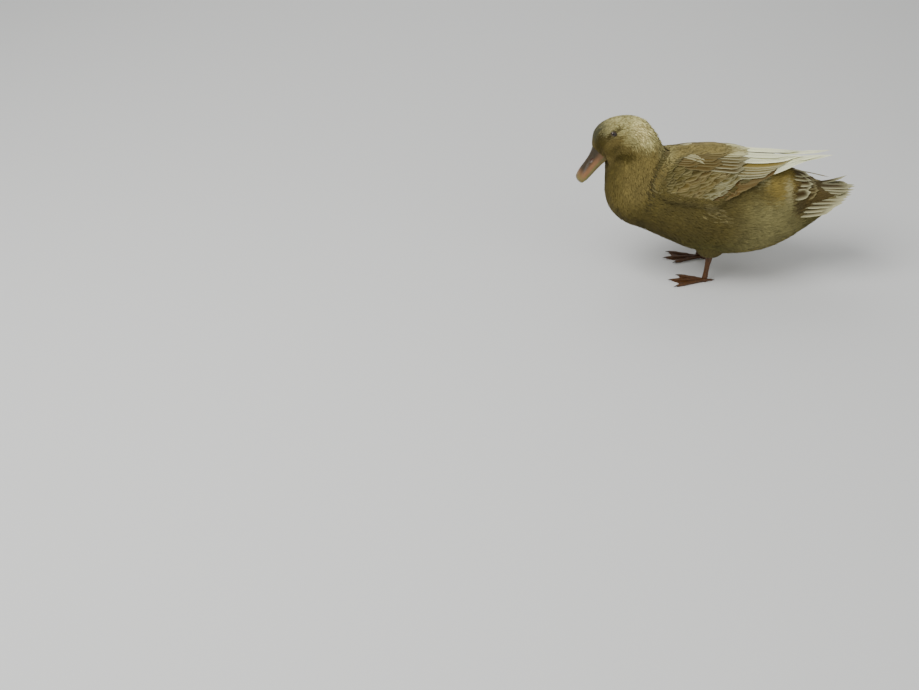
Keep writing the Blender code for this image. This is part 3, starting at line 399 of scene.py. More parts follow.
# How far out on the ball, 1 being its front: the pale ring of the iris, pupil and skin.
IRIS_RING, PUPIL, EYE_SKIN = (0.80, 0.90, 0.02), (0.885, 0.905), (0.55, 0.62)
IRIS_RING_TONE, PUPIL_TONE = 1.6, 0.05

# Thighs: their place and sizes from the body down to the hock, and the feathers on them.
LEG_X = 0.047
THIGH_TOP, THIGH_Y = 0.105, -0.010
THIGH_HALF, THIGH_FLAT, THIGH_TAPER = 0.028, 0.75, 2.2
THIGH_SKIN_DEPTH = 0.10
THIGH_SKIN_STEPS, THIGH_COAT_STEPS = (24, 32), (60, 48)
HOCK_Y, HOCK_Z, HOCK_HALF = -0.011, 0.054, 0.0072
THIGH_ROWS, THIGH_SPAN = 30, (0.12, 0.94)
THIGH_COUNT, THIGH_THINNING = 58, 26
THIGH_SCATTER = (0.02, 0.3)
THIGH_FEATHER, THIGH_SHORTER = 0.014, 0.35
THIGH_TONE, THIGH_STRAW = (0.86, 0.76, 0.85), 0.3
THIGH_UNWRAP, THIGH_UNWRAP_SIZE = {1: (0.05, 0.76), -1: (0.55, 0.76)}, (0.35, 0.20)
THIGH_ROOT, THIGH_RISE, THIGH_CURVE = 0.0018, 0.0024, 0.7
THIGH_WIDTH = 0.12  # half width of a feather in lengths
THIGH_SPREAD = {"roll": 0.08, "tint": 0.12}

LIGHTS = (  # name, setting with its power, place and size
    ("key_light", "key", (1.2, -1.6, 2.6), 2.2),
    ("fill_light", "fill", (2.2, 1.8, 1.6), 2.5),
    ("rim_light", "fill", (-2.2, -0.5, 2.2), 2.0),
)
LIGHTS_AIM = (0, 0, 0.15)
SKY_COLOUR = (0.92, 0.94, 0.96, 1.0)


# Settings


def colour(name, value, about):
    return FloatVectorProperty(
        name=name, description=about, subtype="COLOR", size=3, min=0.0, max=1.0, default=value
    )


class DuckColours(bpy.types.PropertyGroup):
    crown: colour("Crown", (0.620, 0.565, 0.245), "Top of the head and nape")
    forehead: colour("Forehead", (0.088, 0.084, 0.046), "Front of the head above the bill")
    cheek: colour("Cheek", (0.135, 0.102, 0.030), "Sides of the head")
    lores: colour("Lores", (0.056, 0.042, 0.007), "Dark patch between eye and bill")
    neck: colour("Neck", (0.146, 0.112, 0.033), "Sides and back of the neck")
    # Breast and belly are their own darker buff, made darker still as painted shade of the underside.
    breast: colour("Breast", (0.065, 0.049, 0.009), "Front of the neck and breast")
    belly: colour("Belly", (0.092, 0.083, 0.019), "Underside")
    rear: colour("Rear", (0.200, 0.178, 0.068), "Flanks behind the legs")
    rump: colour("Rump", (0.200, 0.145, 0.030), "Rump and tail coverts")
    back: colour("Back", (0.470, 0.440, 0.220), "Middle of the back")
    tan: colour("Tan", (0.215, 0.168, 0.052), "Shoulders and front of the back")
    brown: colour("Brown", (0.082, 0.053, 0.012), "Centres of the scapulars and small coverts")
    covert: colour("Covert", (0.078, 0.060, 0.012), "Centres of the wing coverts")
    buff: colour("Buff", (0.066, 0.054, 0.013), "Small feathers at the front of the wing")
    # Rust: the secondaries' own orange-buff, darkened as painted shade of the tertials over them.
    rust: colour("Rust", (0.080, 0.041, 0.007), "Centres of the secondaries")
    flight: colour("Flight", (0.860, 0.870, 0.540), "Primaries and tertials")
    tail: colour("Tail", (0.054, 0.032, 0.007), "Centres of the tail feathers")
    straw: colour("Straw", (0.300, 0.256, 0.116), "Soft pale edges")
    cream: colour("Cream", (0.560, 0.540, 0.320), "Pale edges")
    white: colour("White", (0.860, 0.860, 0.620), "Brightest edges")
    bill: colour("Bill", (0.240, 0.115, 0.046), "Sides of the bill")
    culmen: colour("Culmen", (0.020, 0.018, 0.007), "Ridge of the bill")
    bill_edge: colour("Bill edge", (0.160, 0.140, 0.036), "Edges and tip of the bill")
    # Painted shade: the dark of the mouth line and of the nostril dents.
    mouth: colour("Mouth", (0.070, 0.028, 0.012), "Line of the mouth and nostrils")
    iris: colour("Iris", (0.036, 0.018, 0.008), "Iris of the eye")
    lid: colour("Lid", (0.046, 0.037, 0.017), "Skin round the eye")
    # Leg: the scales' own orange-brown, darkened as painted shade from the body above.
    leg: colour("Leg", (0.102, 0.038, 0.007), "Scales of legs and feet")
    claw: colour("Claw", (0.090, 0.062, 0.040), "Claws")


class DuckSizes(bpy.types.PropertyGroup):
    coat_density: FloatProperty(
        name="Coat density", description="Body feathers against the usual count", default=1.0, min=0.2
    )
    feather_ruffle: FloatProperty(
        name="Ruffle", description="How unevenly the feathers lie", default=1.0, min=0.0, max=3.0
    )
    seed: IntProperty(name="Seed", description="Start of the random draws", default=11)
    barb_pitch: FloatProperty(
        name="Barb pitch", description="Distance between barbs", default=0.0011, unit="LENGTH"
    )


class DuckStage(bpy.types.PropertyGroup):
    camera_place: FloatVectorProperty(
        name="Camera", description="Place of the camera", default=(2.6627, -0.4730, 1.4318), unit="LENGTH"
    )
    camera_pitch: FloatProperty(
        name="Pitch", description="How far the camera looks down", default=math.radians(31), unit="ROTATION"
    )
    lens: FloatProperty(name="Lens", description="Focal length in millimetres", default=61.9)
    floor_colour: colour("Floor", (0.72, 0.72, 0.70), "The floor")
    floor_size: FloatProperty(
        name="Floor size", description="Side of the floor", default=30.0, unit="LENGTH"
    )
    key: FloatProperty(name="Key light", description="Power of the light from above", default=100.0)
    fill: FloatProperty(name="Fill light", description="Power of the light from the side", default=22.0)
    sky: FloatProperty(name="Sky", description="Strength of the even light", default=0.38)


def colours():
    return bpy.context.scene.duck_colours


def sizes():
    return bpy.context.scene.duck_sizes


def paint(name):
    return np.array(getattr(colours(), name))


# Tables and surfaces


def smooth_table(knots, rows, at):
    """Smooth curves through rows of numbers, one row for each knot, read at many places."""
    knots, rows = np.asarray(knots, float), np.asarray(rows, float)
    at = np.clip(np.asarray(at, float), knots[0], knots[-1])
    runs = np.diff(knots)[:, None]
    rises = np.diff(rows, axis=0) / runs
    inner = (rises[:-1] * runs[1:] + rises[1:] * runs[:-1]) / (runs[:-1] + runs[1:])
    slopes = np.vstack([rises[:1], inner, rises[-1:]])
    index = np.clip(np.searchsorted(knots, at, side="right") - 1, 0, len(knots) - 2)
    span = (knots[index + 1] - knots[index])[..., None]
    part = (at - knots[index])[..., None] / span
    return (
        rows[index] * (2 * part**3 - 3 * part**2 + 1)
        + slopes[index] * span * (part**3 - 2 * part**2 + part)
        + rows[index + 1] * (3 * part**2 - 2 * part**3)
        + slopes[index + 1] * span * (part**3 - part**2)
    )


def table(rows, at):
    """The columns of a table at one or many places, the first number of each row being the place."""
    rows = np.asarray(rows, float)
    return smooth_table(rows[:, 0], rows[:, 1:], at)


def smoothstep(low, high, value):
    part = np.clip((np.asarray(value, float) - low) / (high - low), 0.0, 1.0)
    return part * part * (3 - 2 * part)


def mix(first, second, share):
    share = np.asarray(share)[..., None]
    return first * (1 - share) + second * share


def unit(vectors):
    return vectors / np.maximum(np.linalg.norm(vectors, axis=-1, keepdims=True), 1e-12)


def signed_power(value, exponent):
    return np.sign(value) * np.abs(value) ** exponent


def full_turn(steps):
    return np.linspace(0, 2 * math.pi, steps, endpoint=False)


def body_knots():
    knots = [0.0]
    for first, second in zip(BODY_STATIONS, BODY_STATIONS[1:]):
        upper = math.hypot(second[1] - first[1], second[2] - first[2])
        lower = math.hypot(second[3] - first[3], second[4] - first[4])
        knots.append(knots[-1] + (upper + lower) / 2)
    return knots


KNOTS = body_knots()
PLACES = {row[0]: knot / KNOTS[-1] for row, knot in zip(BODY_STATIONS, KNOTS)}


def turned(points, share=1.0):
    """Points of the head's upright frame, turned with the head and set in the frame's place."""
    points = np.asarray(points, float)
    angle = HEAD_TURN * np.asarray(share, float)
    x, y = points[..., 0], points[..., 1] - TURN_CENTRE_Y
    out = np.empty(points.shape)
    out[..., 0] = x * np.cos(angle) - y * np.sin(angle)
    out[..., 1] = x * np.sin(angle) + y * np.cos(angle) + TURN_CENTRE_Y + SHIFT_Y
    out[..., 2] = points[..., 2]
    return out


def body_rings(rows, columns):
    at = np.linspace(0.0, KNOTS[-1], rows)
    values = smooth_table(KNOTS, [row[1:] for row in BODY_STATIONS], at)
    upper_y, upper_z, lower_y, lower_z, half, fullness, level, share = values.T[..., None]
    angle = full_turn(columns)[None, :]
    along = signed_power(np.cos(angle), 2 / fullness)
    reach = along + level * (1 - along**2)
    points = np.stack(
        [
            half * signed_power(np.sin(angle), 2 / fullness),
            (upper_y + lower_y) / 2 + (upper_y - lower_y) / 2 * reach,
            (upper_z + lower_z) / 2 + (upper_z - lower_z) / 2 * reach,
        ],
        axis=-1,
    )
    return turned(points, share)


class Surface:
    """Points over a grid of shares along and around, read between them and past the last row."""

    def __init__(self, points, wraps):
        self.points, self.wraps = points, wraps
        along = np.gradient(points, axis=0)
        if wraps:
            around = (np.roll(points, -1, axis=1) - np.roll(points, 1, axis=1)) / 2
        else:
            around = np.gradient(points, axis=1)
        self.normals = unit(np.cross(around, along))
        self.along = np.linalg.norm(along, axis=-1) * (points.shape[0] - 1)
        self.around = np.linalg.norm(around, axis=-1) * (points.shape[1] - (0 if wraps else 1))

    def corners(self, along, around):
        rows, columns = self.points.shape[:2]
        row = np.asarray(along) * (rows - 1)
        first_row = np.clip(np.floor(row).astype(int), 0, rows - 2)
        if self.wraps:
            column = np.mod(around, 1.0) * columns
            first_column = np.floor(column).astype(int) % columns
            second_column = (first_column + 1) % columns
            across = column - np.floor(column)
        else:
            column = np.clip(around, 0.0, 1.0) * (columns - 1)
            first_column = np.clip(np.floor(column).astype(int), 0, columns - 2)
            second_column = first_column + 1
            across = column - first_column
        return first_row, first_row + 1, first_column, second_column, row - first_row, across

    def blend(self, values, along, around, beyond):
        first_row, second_row, first, second, down, across = self.corners(along, around)
        if not beyond:
            down = np.clip(down, 0.0, 1.0)
        if values.ndim == 3:
            down, across = down[..., None], across[..., None]
        upper = values[first_row, first] * (1 - across) + values[first_row, second] * across
        lower = values[second_row, first] * (1 - across) + values[second_row, second] * across
        return upper * (1 - down) + lower * down

    def point(self, along, around):
        return self.blend(self.points, along, around, True)

    def normal(self, along, around):
        return unit(self.blend(self.normals, along, around, False))

    def scale(self, along, around):
        """Metres to one whole share, along and around."""
        return (
            self.blend(self.along, along, around, False),
            self.blend(self.around, along, around, False),
        )


class Shapes:
    """The surfaces on which everything lies, worked out once."""

    body = None
    wing = None
    tree = None


def body_surface():
    if Shapes.body is None:
        Shapes.body = Surface(body_rings(GRID_ROWS, GRID_COLUMNS), wraps=True)
    return Shapes.body


def wing_axis(y):
    return table(WING_ENVELOPE, y)[..., 2]


def wing_surface():
    """The surface in which the left wing's feathers lie, over y and the angle from the back."""
    if Shapes.wing is not None:
        return Shapes.wing
    tree = closed_tree(body_rings(*WING_RAY_STEPS))
    steps_y, steps_angle = WING_GRID_STEPS
    points = np.empty((steps_y, steps_angle, 3))
    for i, y in enumerate(np.linspace(*WING_GRID_Y, steps_y)):
        top, half, centre = (float(v) for v in table(WING_ENVELOPE, y))
        origin = Vector((0.0, y + SHIFT_Y, centre))
        for j, degrees in enumerate(np.linspace(*WING_GRID_ANGLE, steps_angle)):
            angle = math.radians(degrees)
            towards = Vector((math.sin(angle), 0.0, math.cos(angle)))
            hit = tree.ray_cast(origin, towards)[0]
            radius = (hit - origin).length + WING_LIFT if hit else 0.0
            if y >= WING_ENVELOPE[0][0]:
                free = 1 / math.hypot(towards.x / half, towards.z / (top - centre))
                radius = max(radius, free)
            points[i, j] = origin + towards * radius
    Shapes.wing = Surface(points, wraps=False)
    return Shapes.wing


def closed_tree(grid):
    rows, columns = grid.shape[:2]
    return BVHTree.FromPolygons(grid.reshape(-1, 3).tolist(), tube_faces(rows, columns))


def wing_place(y, degrees):
    return (
        (np.asarray(y) - WING_GRID_Y[0]) / (WING_GRID_Y[1] - WING_GRID_Y[0]),
        (np.asarray(degrees) - WING_GRID_ANGLE[0]) / (WING_GRID_ANGLE[1] - WING_GRID_ANGLE[0]),
    )


# Meshes


def grid_quads(rows, columns, wraps):
    """Faces of a grid of points, row by row, facing out where the surfaces above do."""
    row = np.arange(rows - 1)[:, None] * columns
    count = columns if wraps else columns - 1
    first = np.arange(count)[None, :]
    second = (first + 1) % columns
    quads = np.stack(
        [row + first, row + second, row + columns + second, row + columns + first], axis=-1
    )
    return quads.reshape(-1, 4)


def tube_faces(rows, columns):
    """Faces of a tube of rings, closed by one face over each end."""
    ring = np.arange(columns)
    ends = [ring[::-1].tolist(), (ring + (rows - 1) * columns).tolist()]
    return grid_quads(rows, columns, True).tolist() + ends


def add_object(name, data):
    item = bpy.data.objects.new(name, data)
    bpy.context.scene.collection.objects.link(item)
    return item


def smooth_object(name, data, material, sharp):
    """An object from its mesh, smooth but for edges that bend by more than so many degrees."""
    data.shade_smooth()
    data.set_sharp_from_angle(angle=math.radians(sharp))
    if material:
        data.materials.append(material)
    return add_object(name, data)


def mesh_object(name, points, faces, material, sharp=60):
    """An object from points and faces, of which each has as many corners as it needs."""
    data = bpy.data.meshes.new(name)
    data.from_pydata(np.asarray(points, float).reshape(-1, 3).tolist(), [], [list(f) for f in faces])
    data.validate()
    return smooth_object(name, data, material, sharp)


def quad_object(name, points, quads, material, sharp=70):
    """A large object from points and four-cornered faces."""
    data = bpy.data.meshes.new(name)
    data.vertices.add(len(points))
    data.vertices.foreach_set("co", points.astype(np.float32).ravel())
    data.loops.add(quads.size)
    data.loops.foreach_set("vertex_index", quads.astype(np.int32).ravel())
    data.polygons.add(len(quads))
    data.polygons.foreach_set("loop_start", np.arange(0, quads.size, 4, dtype=np.int32))
    data.update(calc_edges=True)
    return smooth_object(name, data, material, sharp)


def paint_points(item, tints):
    layer = item.data.color_attributes.new("Plumage", "FLOAT_COLOR", "POINT")
    values = np.ones((len(item.data.vertices), 4), np.float32)
    values[:, :3] = tints.reshape(-1, 3)
    layer.data.foreach_set("color", values.ravel())


def corner_points(data):
    """Which point each corner of the faces is."""
    corners = np.empty(len(data.loops), np.int32)
    data.loops.foreach_get("vertex_index", corners)
    return corners


def map_points(item, name, places):
    """A UV map from one place for each point."""
    layer = item.data.uv_layers.new(name=name)
    flat = places.reshape(-1, 2)[corner_points(item.data)]
    layer.data.foreach_set("uv", flat.astype(np.float32).ravel())


def ride(item, replaces=()):
    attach(item, BODY)
    if replaces:
        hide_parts(*replaces)


# Feathers


class Tier:
    """Many feathers of one kind, each with its middle line and the direction it faces."""

    def __init__(self, centres, normals, half, stations, shape, across):
        self.centres, self.normals, self.half = centres, normals, np.asarray(half, float)
        self.stations, self.shape, self.across = np.asarray(stations), shape, across
        count = len(centres)
        self.cup = np.full(count, 0.16)
        self.roll = np.zeros(count)
        self.thick = np.full(count, 0.0006)
        self.ragged = 0.05
        self.root = np.zeros((count, 2))
        self.core = np.zeros((count, 3))
        self.edge = np.zeros((count, 3))
        self.edging = np.full(count, 0.5)
        self.outer = np.ones(count)
        # The last of these is how much colour a root keeps under the painted shade of the feathers over it.
        self.rim, self.tip, self.tip_start, self.root_light = 1.5, 1.0, 0.70, 0.85
        self.shaft = 0.0

    def give(self, **values):
        """Sets values, each one for the whole tier or one for each feather."""
        for name, value in values.items():
            shape = np.shape(getattr(self, name))
            setattr(self, name, np.broadcast_to(value, shape) if shape else value)


def outline(stations, shape):
    root, widest, tip, narrowing = FEATHER_SHAPES[shape]
    rise = root + (1 - root) * np.sin(np.minimum(stations / widest, 1) * math.pi / 2)
    past = np.maximum(stations - tip, 0) / (1 - tip)
    close = np.sqrt(np.maximum(1 - past**2 * TIP_BLUNT, 0))
    return rise * close * (1 - narrowing * stations)


def feather_points(tier, chance):
    """Points of each feather as rings along it: its upper side, then its underside."""
    above, below = (np.array(side, float) for side in tier.across)
    across = np.concatenate([above, below])
    upper = np.concatenate([np.ones(len(above)), np.zeros(len(below))])
    count, stations = tier.centres.shape[:2]
    along = unit(np.gradient(tier.centres, axis=1))
    normal = tier.normals - along * (tier.normals * along).sum(-1, keepdims=True)
    normal = unit(normal)
    side = np.cross(along, normal)
    turn = tier.roll[:, None, None]
    normal, side = (
        normal * np.cos(turn) + side * np.sin(turn),
        side * np.cos(turn) - normal * np.sin(turn),
    )
    width = tier.half[:, None] * outline(tier.stations, tier.shape)[None, :]
    rim = np.abs(across) == 1
    wave = chance.normal(0, tier.ragged, (count, stations, len(across))) * rim
    reach = across * width[..., None] * (1 + wave)
    length = np.linalg.norm(np.diff(tier.centres, axis=1), axis=-1).sum(-1)
    point_back = across**2 * VANE_SWEEP * length[:, None, None] * tier.stations[None, :, None] ** 3
    thick = tier.thick[:, None, None] * (1.15 - tier.stations[None, :, None])
    middle = np.maximum(1 - across**2, 0)
    rise = thick * middle * (upper - 0.5)
    ridge = tier.shaft * (across == 0) * upper * (1 - 0.8 * tier.stations[None, :, None])
    sag = tier.cup[:, None, None] * across**2 * width[..., None]
    points = (
        tier.centres[:, :, None, :]
        + side[:, :, None, :] * reach[..., None]
        + normal[:, :, None, :] * (rise + ridge - sag)[..., None]
        - along[:, :, None, :] * point_back[..., None]
    )
    return points, across, length


def feather_tints(tier, across, chance):
    outer = np.sign(across)[None, :] * np.sign(tier.outer)[:, None] > 0
    rim = np.abs(across)[None, None, :] ** np.where(outer, tier.rim, 2 * tier.rim)[:, None, :]
    tip = tier.tip * smoothstep(tier.tip_start, TIP_PALE_END, tier.stations)[None, :, None]
    pale = np.clip(np.maximum(rim, tip) * tier.edging[:, None, None], 0, 1)
    tints = mix(tier.core[:, None, None, :], tier.edge[:, None, None, :], pale)
    # Painted shade: the root is darkened where the feathers before it lie over it, fading out along the
    # vane.
    light = tier.root_light + (1 - tier.root_light) * smoothstep(0.0, ROOT_SHADE_END, tier.stations)
    tints = tints * light[None, :, None, None]
    shaft = (across == 0)[None, None, :, None] * (tier.shaft > 0)
    tints = tints * (1 - SHAFT_SHADE * shaft)
    return tints * chance.normal(1.0, TINT_SPREAD, (len(tier.centres), 1, 1, 1))


def feather_object(name, tiers, material, seed):
    """One object of all the tiers' feathers, each a closed thin vane."""
    chance = np.random.default_rng(seed)
    point_sets, quad_sets, tint_sets, barb_sets, bake_sets, total = [], [], [], [], [], 0
    for tier in tiers:
        points, across, length = feather_points(tier, chance)
        count, stations, ring = points.shape[:3]
        quads = feather_quads(stations, ring)
        offsets = (np.arange(count) * stations * ring + total)[:, None, None]
        quads = (quads[None] + offsets).reshape(-1, 4)
        shape = (count, stations, ring)
        barbs = np.empty(shape + (2,))
        barbs[..., 0] = across * tier.half[:, None, None]
        barbs[..., 1] = tier.stations[None, :, None] * length[:, None, None]
        barbs[..., 1] += chance.uniform(0, 1, (count, 1, 1))
        patch = np.empty(shape + (2,))
        patch[..., 0] = (tier.stations[None, :, None] - 0.5) * COAT_PATCH
        patch[..., 1] = across * COAT_PATCH / 2
        patch += tier.root[:, None, None, :]
        point_sets.append(points.reshape(-1, 3))
        quad_sets.append(quads)
        tint_sets.append(feather_tints(tier, across, chance).reshape(-1, 3))
        barb_sets.append(barbs.reshape(-1, 2))
        bake_sets.append(patch.reshape(-1, 2))
        total += count * stations * ring
    item = quad_object(name, np.concatenate(point_sets), np.concatenate(quad_sets), material)
    paint_points(item, np.concatenate(tint_sets))
    map_points(item, "OFBake", np.concatenate(bake_sets))
    map_points(item, "Barbs", np.concatenate(barb_sets))
    ride(item)
    return item


def feather_quads(stations, ring):
    """Faces of one vane: its two sides, and a fan at each end."""
    sides = grid_quads(stations, ring, True)
    fan = np.array([(0, k + 1, k + 2, k + 3) for k in range(0, ring - 2, 2)])
    return np.concatenate([sides, fan[:, ::-1], fan + (stations - 1) * ring])


# Coat of the body


def share_down(around):
    """0 at the upper edge of the body and 1 at the lower one."""
    part = np.mod(around, 1.0)
    return 1 - np.abs(1 - 2 * part)


def band(value, low, high, soft):
    """1 from low to high and 0 outside, with soft ends."""
    start = smoothstep(low - soft, low + soft, value)
    return start * (1 - smoothstep(high - soft, high + soft, value))


def spot(along, down, run, drop):
    """How strongly a spot covers places on the body, from 0 to 1."""
    return band(along, *run) * band(down, *drop)


def onward_from(first, second):
    """The run of a spot that begins softly between two places of the body and has no end."""
    return (PLACES[first] + PLACES[second]) / 2, 2, (PLACES[second] - PLACES[first]) / 2


# Markings in the order in which they are laid on: colour, strength, the spot's run along the
# body and its drop from the upper edge and, for a slanted one, its slope and the place along the
# body at which it turns.
GROUND = (
    ("neck", 1.0, (0.10, 0.30, 0.03), ALL_OVER),
    # The breast colour over the lower half, partly painted shade of the underside.
    ("breast", 0.62, ALL_OVER, (0.64, 2, 0.14)),
    ("cheek", 1.0, (-1, 0.115, 0.02), (-1, 0.78, 0.06)),
    ("forehead", 1.0, (0.014, 0.075, 0.012), (-1, 0.28, 0.06)),
)
PALE_CHEEK = ((0.114, 0.170, 0.014), (0.20, 0.41, 0.04))
HEAD_MARKINGS = (
    ("sand", 0.65, (0.18, 0.30, 0.03), (-1, 0.18, 0.10)),
    ("light sand", 0.8, *PALE_CHEEK),
    ("bright cream", 0.70, (0.125, 0.172, 0.014), (0.12, 0.32, 0.05)),
    ("sand", 0.6, (0.040, 0.085, 0.010), (0.16, 0.22, 0.025)),
    ("lores", 0.85, (0.004, 0.048, 0.010), (0.16, 0.42, 0.06)),
    # Painted shade below the cheek, in the lores colour.
    ("lores", 0.55, (0.034, 0.100, 0.012), (0.45, 0.56, 0.04)),
    ("dark lores", 0.9, (0.052, 0.094, 0.006), (0.245, 0.320, 0.02), 2.2, 0.07),
    # Painted shadow of the jaw on the neck, in the lores colour.
    ("lores", 0.9, (0.106, 0.185, 0.012), (0.50, 0.60, 0.03), 1.2, 0.13),
    ("neck", 0.8, (-1, 0.018, 0.008), (0.50, 0.90, 0.08)),
)
BODY_MARKINGS = (
    # The belly colour below, partly painted shade of the underside.
    ("belly", 1.0, (0.51, 2, 0.09), (0.65, 2, 0.10)),
    ("mantle", 1.0, (0.29, 2, 0.04), (-1, 0.20, 0.06)),
    ("rear", 1.0, (0.640, PLACES["vent"], 0.075), (0.34, 0.76, 0.08)),
    ("rump", 0.35, (0.62, 0.90, 0.04), (0.73, 2, 0.07)),
    ("rump", 1.0, onward_from("back", "rump"), (-1, 0.34, 0.06)),
    ("cream", 0.32, (0.772, 0.806, 0.012), (0.18, 0.36, 0.05)),
    ("tail", 0.9, (0.82, 2, 0.015), (-1, 0.55, 0.07)),
    # Painted shadow behind the soft tuft over the rump, in a darker tail colour.
    ("dark tail", 0.7, (0.805, 0.845, 0.012), (0.28, 0.50, 0.05)),
    ("straw", 0.38, (0.485, 0.580, 0.012), (0.417, 0.453, 0.012), -0.64, 0.51),
    # The belly colour under the vent, partly painted shade of the underside.
    ("belly", 0.6, onward_from("stern", "vent"), (0.71, 2, 0.09)),
)
CROWN = ((0.060, 0.195, 0.018), (-1, 0.29, 0.09))
CROWN_WIDENS, CROWN_TURN = 0.2, 0.11
CROWN_FRONT, CROWN_SHADE = ((-1, 0.112, 0.016), (-1, 0.20, 0.06)), 0.32
FLECK_SHARE, FLECK_STRENGTH, FLECK_TONE = 0.42, 0.6, 1.3
MANTLE_BLEND = (0.48, 0.64)
WANDER_ALONG, WANDER_DOWN = 0.004, 0.016
EDGE_TONE, EDGE_LIMIT = 1.4, 0.9

# Pale edges: the least of each, what the back and flanks add, where along the body they gain
# it, how much of it the belly loses and where down the body it does.
EDGE_BLEND = (0.08, 0.30, (0.20, 0.34), 0.5, (0.5, 0.8))
EDGE_STRENGTH = (0.28, 0.28, (0.20, 0.45), 0.5, (0.6, 0.85))
STRAW_SHADE, STRAW_DARKENS = 0.45, (0.45, 0.8)


def mixed_shades(along):
    """The colours of the markings that are mixed from others."""
    crown, neck = paint("crown"), paint("neck")
    return {
        "sand": (crown + neck) / 2,
        "light sand": (crown * 1.2 + neck) / 2,
        "bright cream": paint("cream") * (1.45, 1.30, 1.0),
        "dark lores": paint("lores") * 0.7,
        # The painted shadow behind the rump's tuft.
        "dark tail": paint("tail") * 0.6,
        "mantle": mix(paint("tan"), paint("back"), smoothstep(*MANTLE_BLEND, along)),
    }


def lay_markings(tint, markings, along, down):
    shades = mixed_shades(along)
    for name, strength, run, drop, *slant in markings:
        slope, turn = slant or (0, 0)
        shade = shades[name] if name in shades else paint(name)
        tint = mix(tint, shade, strength * spot(along, down + slope * (along - turn), run, drop))
    return tint


def body_tints(along, around, chance=None):
    """Colours of centre and edge of the feathers at places on the body, and the edge's strength."""
    down = share_down(around)
    if chance is not None:
        along = along + chance.normal(0, WANDER_ALONG, along.shape)
        down = down + chance.normal(0, WANDER_DOWN, down.shape)
    # The ground colour is the breast's, which carries painted shade of the underside.
    tint = np.broadcast_to(paint("breast"), along.shape + (3,))
    tint = lay_markings(tint, GROUND, along, down)
    crown = spot(along, down - CROWN_WIDENS * np.maximum(along - CROWN_TURN, 0), *CROWN)
    front = 1 - CROWN_SHADE * spot(along, down, *CROWN_FRONT)
    tint = mix(tint, paint("crown") * front[..., None], crown)
    tint = lay_markings(tint, HEAD_MARKINGS, along, down)
    if chance is not None:
        pale = crown + 0.5 * spot(along, down, *PALE_CHEEK)
        fleck = (chance.random(along.shape) < FLECK_SHARE) * np.minimum(pale, 1)
        tint = mix(tint, paint("cheek") * FLECK_TONE, FLECK_STRENGTH * fleck)
    tint = lay_markings(tint, BODY_MARKINGS, along, down)
    # Painted shade in the groove in front of the wing, deeper lower down.
    shade = GROOVE_SHADE[0] + GROOVE_SHADE[1] * smoothstep(*GROOVE_DARKENS, down)
    tint = tint * (1 - shade * wing_groove(along, down))[..., None]
    tint = tint * (1 + PATCH_CONTRAST * patches(along, np.mod(around, 1.0)))[..., None]
    return tint, *edge_tints(tint, along, down)


def edge_tints(tint, along, down):
    """Colour and strength of the pale edges, weaker on head and belly than on back and flanks."""
    blend, strength = (
        least + more * smoothstep(*gains, along) * (1 - loss * smoothstep(*loses, down))
        for least, more, gains, loss, loses in (EDGE_BLEND, EDGE_STRENGTH)
    )
    pale = paint("straw") * (1 - STRAW_SHADE * smoothstep(*STRAW_DARKENS, down))[..., None]
    return np.minimum(mix(tint * EDGE_TONE, pale, blend), EDGE_LIMIT), strength


def wing_groove(along, down):
    """How near a place is to the groove between the breast and the front of the wing."""
    return spot(along - table(GROOVE, down)[..., 0], down, *GROOVE_SPOT)


def patches(along, around):
    """Soft uneven patches over the plumage, from about -1 to 1."""
    total = np.zeros(np.broadcast(along, around).shape)
    for wide, high, start in PATCH_WAVES:
        total = total + np.sin(PATCH_SIZE * (wide * along + high * around) + start)
    return total / len(PATCH_WAVES) ** 0.5 / 1.3


def wing_angle(points):
    """The angle round the wings' axis from straight up, in degrees."""
    above = points[..., 2] - wing_axis(points[..., 1] - SHIFT_Y)
    return np.degrees(np.arctan2(np.abs(points[..., 0]), above))


def wing_cover(points, ahead, behind, lower=0):
    """How far points lie inside the wings' outline, or this many degrees lower, from 0 to 1."""
    y, angle = points[..., 1] - SHIFT_Y, wing_angle(points)
    front = table(WING_FRONT, angle)[..., 0]
    low = table(WING_LOW, y)[..., 0] + lower
    inside = smoothstep(-ahead, behind, y - front)
    inside = inside * (1 - smoothstep(low - COVER_SOFT, low + COVER_SOFT, angle))
    return inside * (1 - smoothstep(WING_END_Y + COVER_END[0], WING_END_Y + COVER_END[1], y))


def root_ring(row, place, count, step, scatter, chance):
    """Places of one ring of feathers, each a little off its row and its place in it."""
    off_row, off_place = scatter
    along = place + chance.uniform(-off_row, off_row, count) * step
    stray = chance.uniform(-off_place, off_place, count)
    return along, (np.arange(count) + 0.5 * (row % 2) + stray) / count


def body_roots(start, end, chance):
    """Places of the feathers, row after row round the body."""
    surface = body_surface()
    probe = np.linspace(0, 1, COAT_PROBES, endpoint=False)
    rings = []
    place = start
    density = math.sqrt(sizes().coat_density)
    while place < end:
        _, _, spacing, half, _ = table(COAT, place)
        run, girth = surface.scale(np.full(COAT_PROBES, place), probe)
        count = max(int(girth.mean() / (ROOT_SPACING * half) * density), LEAST_IN_RING)
        step = spacing / run.mean() / density
        rings.append(root_ring(len(rings), place, count, step, ROOT_SCATTER, chance))
        place += step
    return np.concatenate(rings, axis=1)


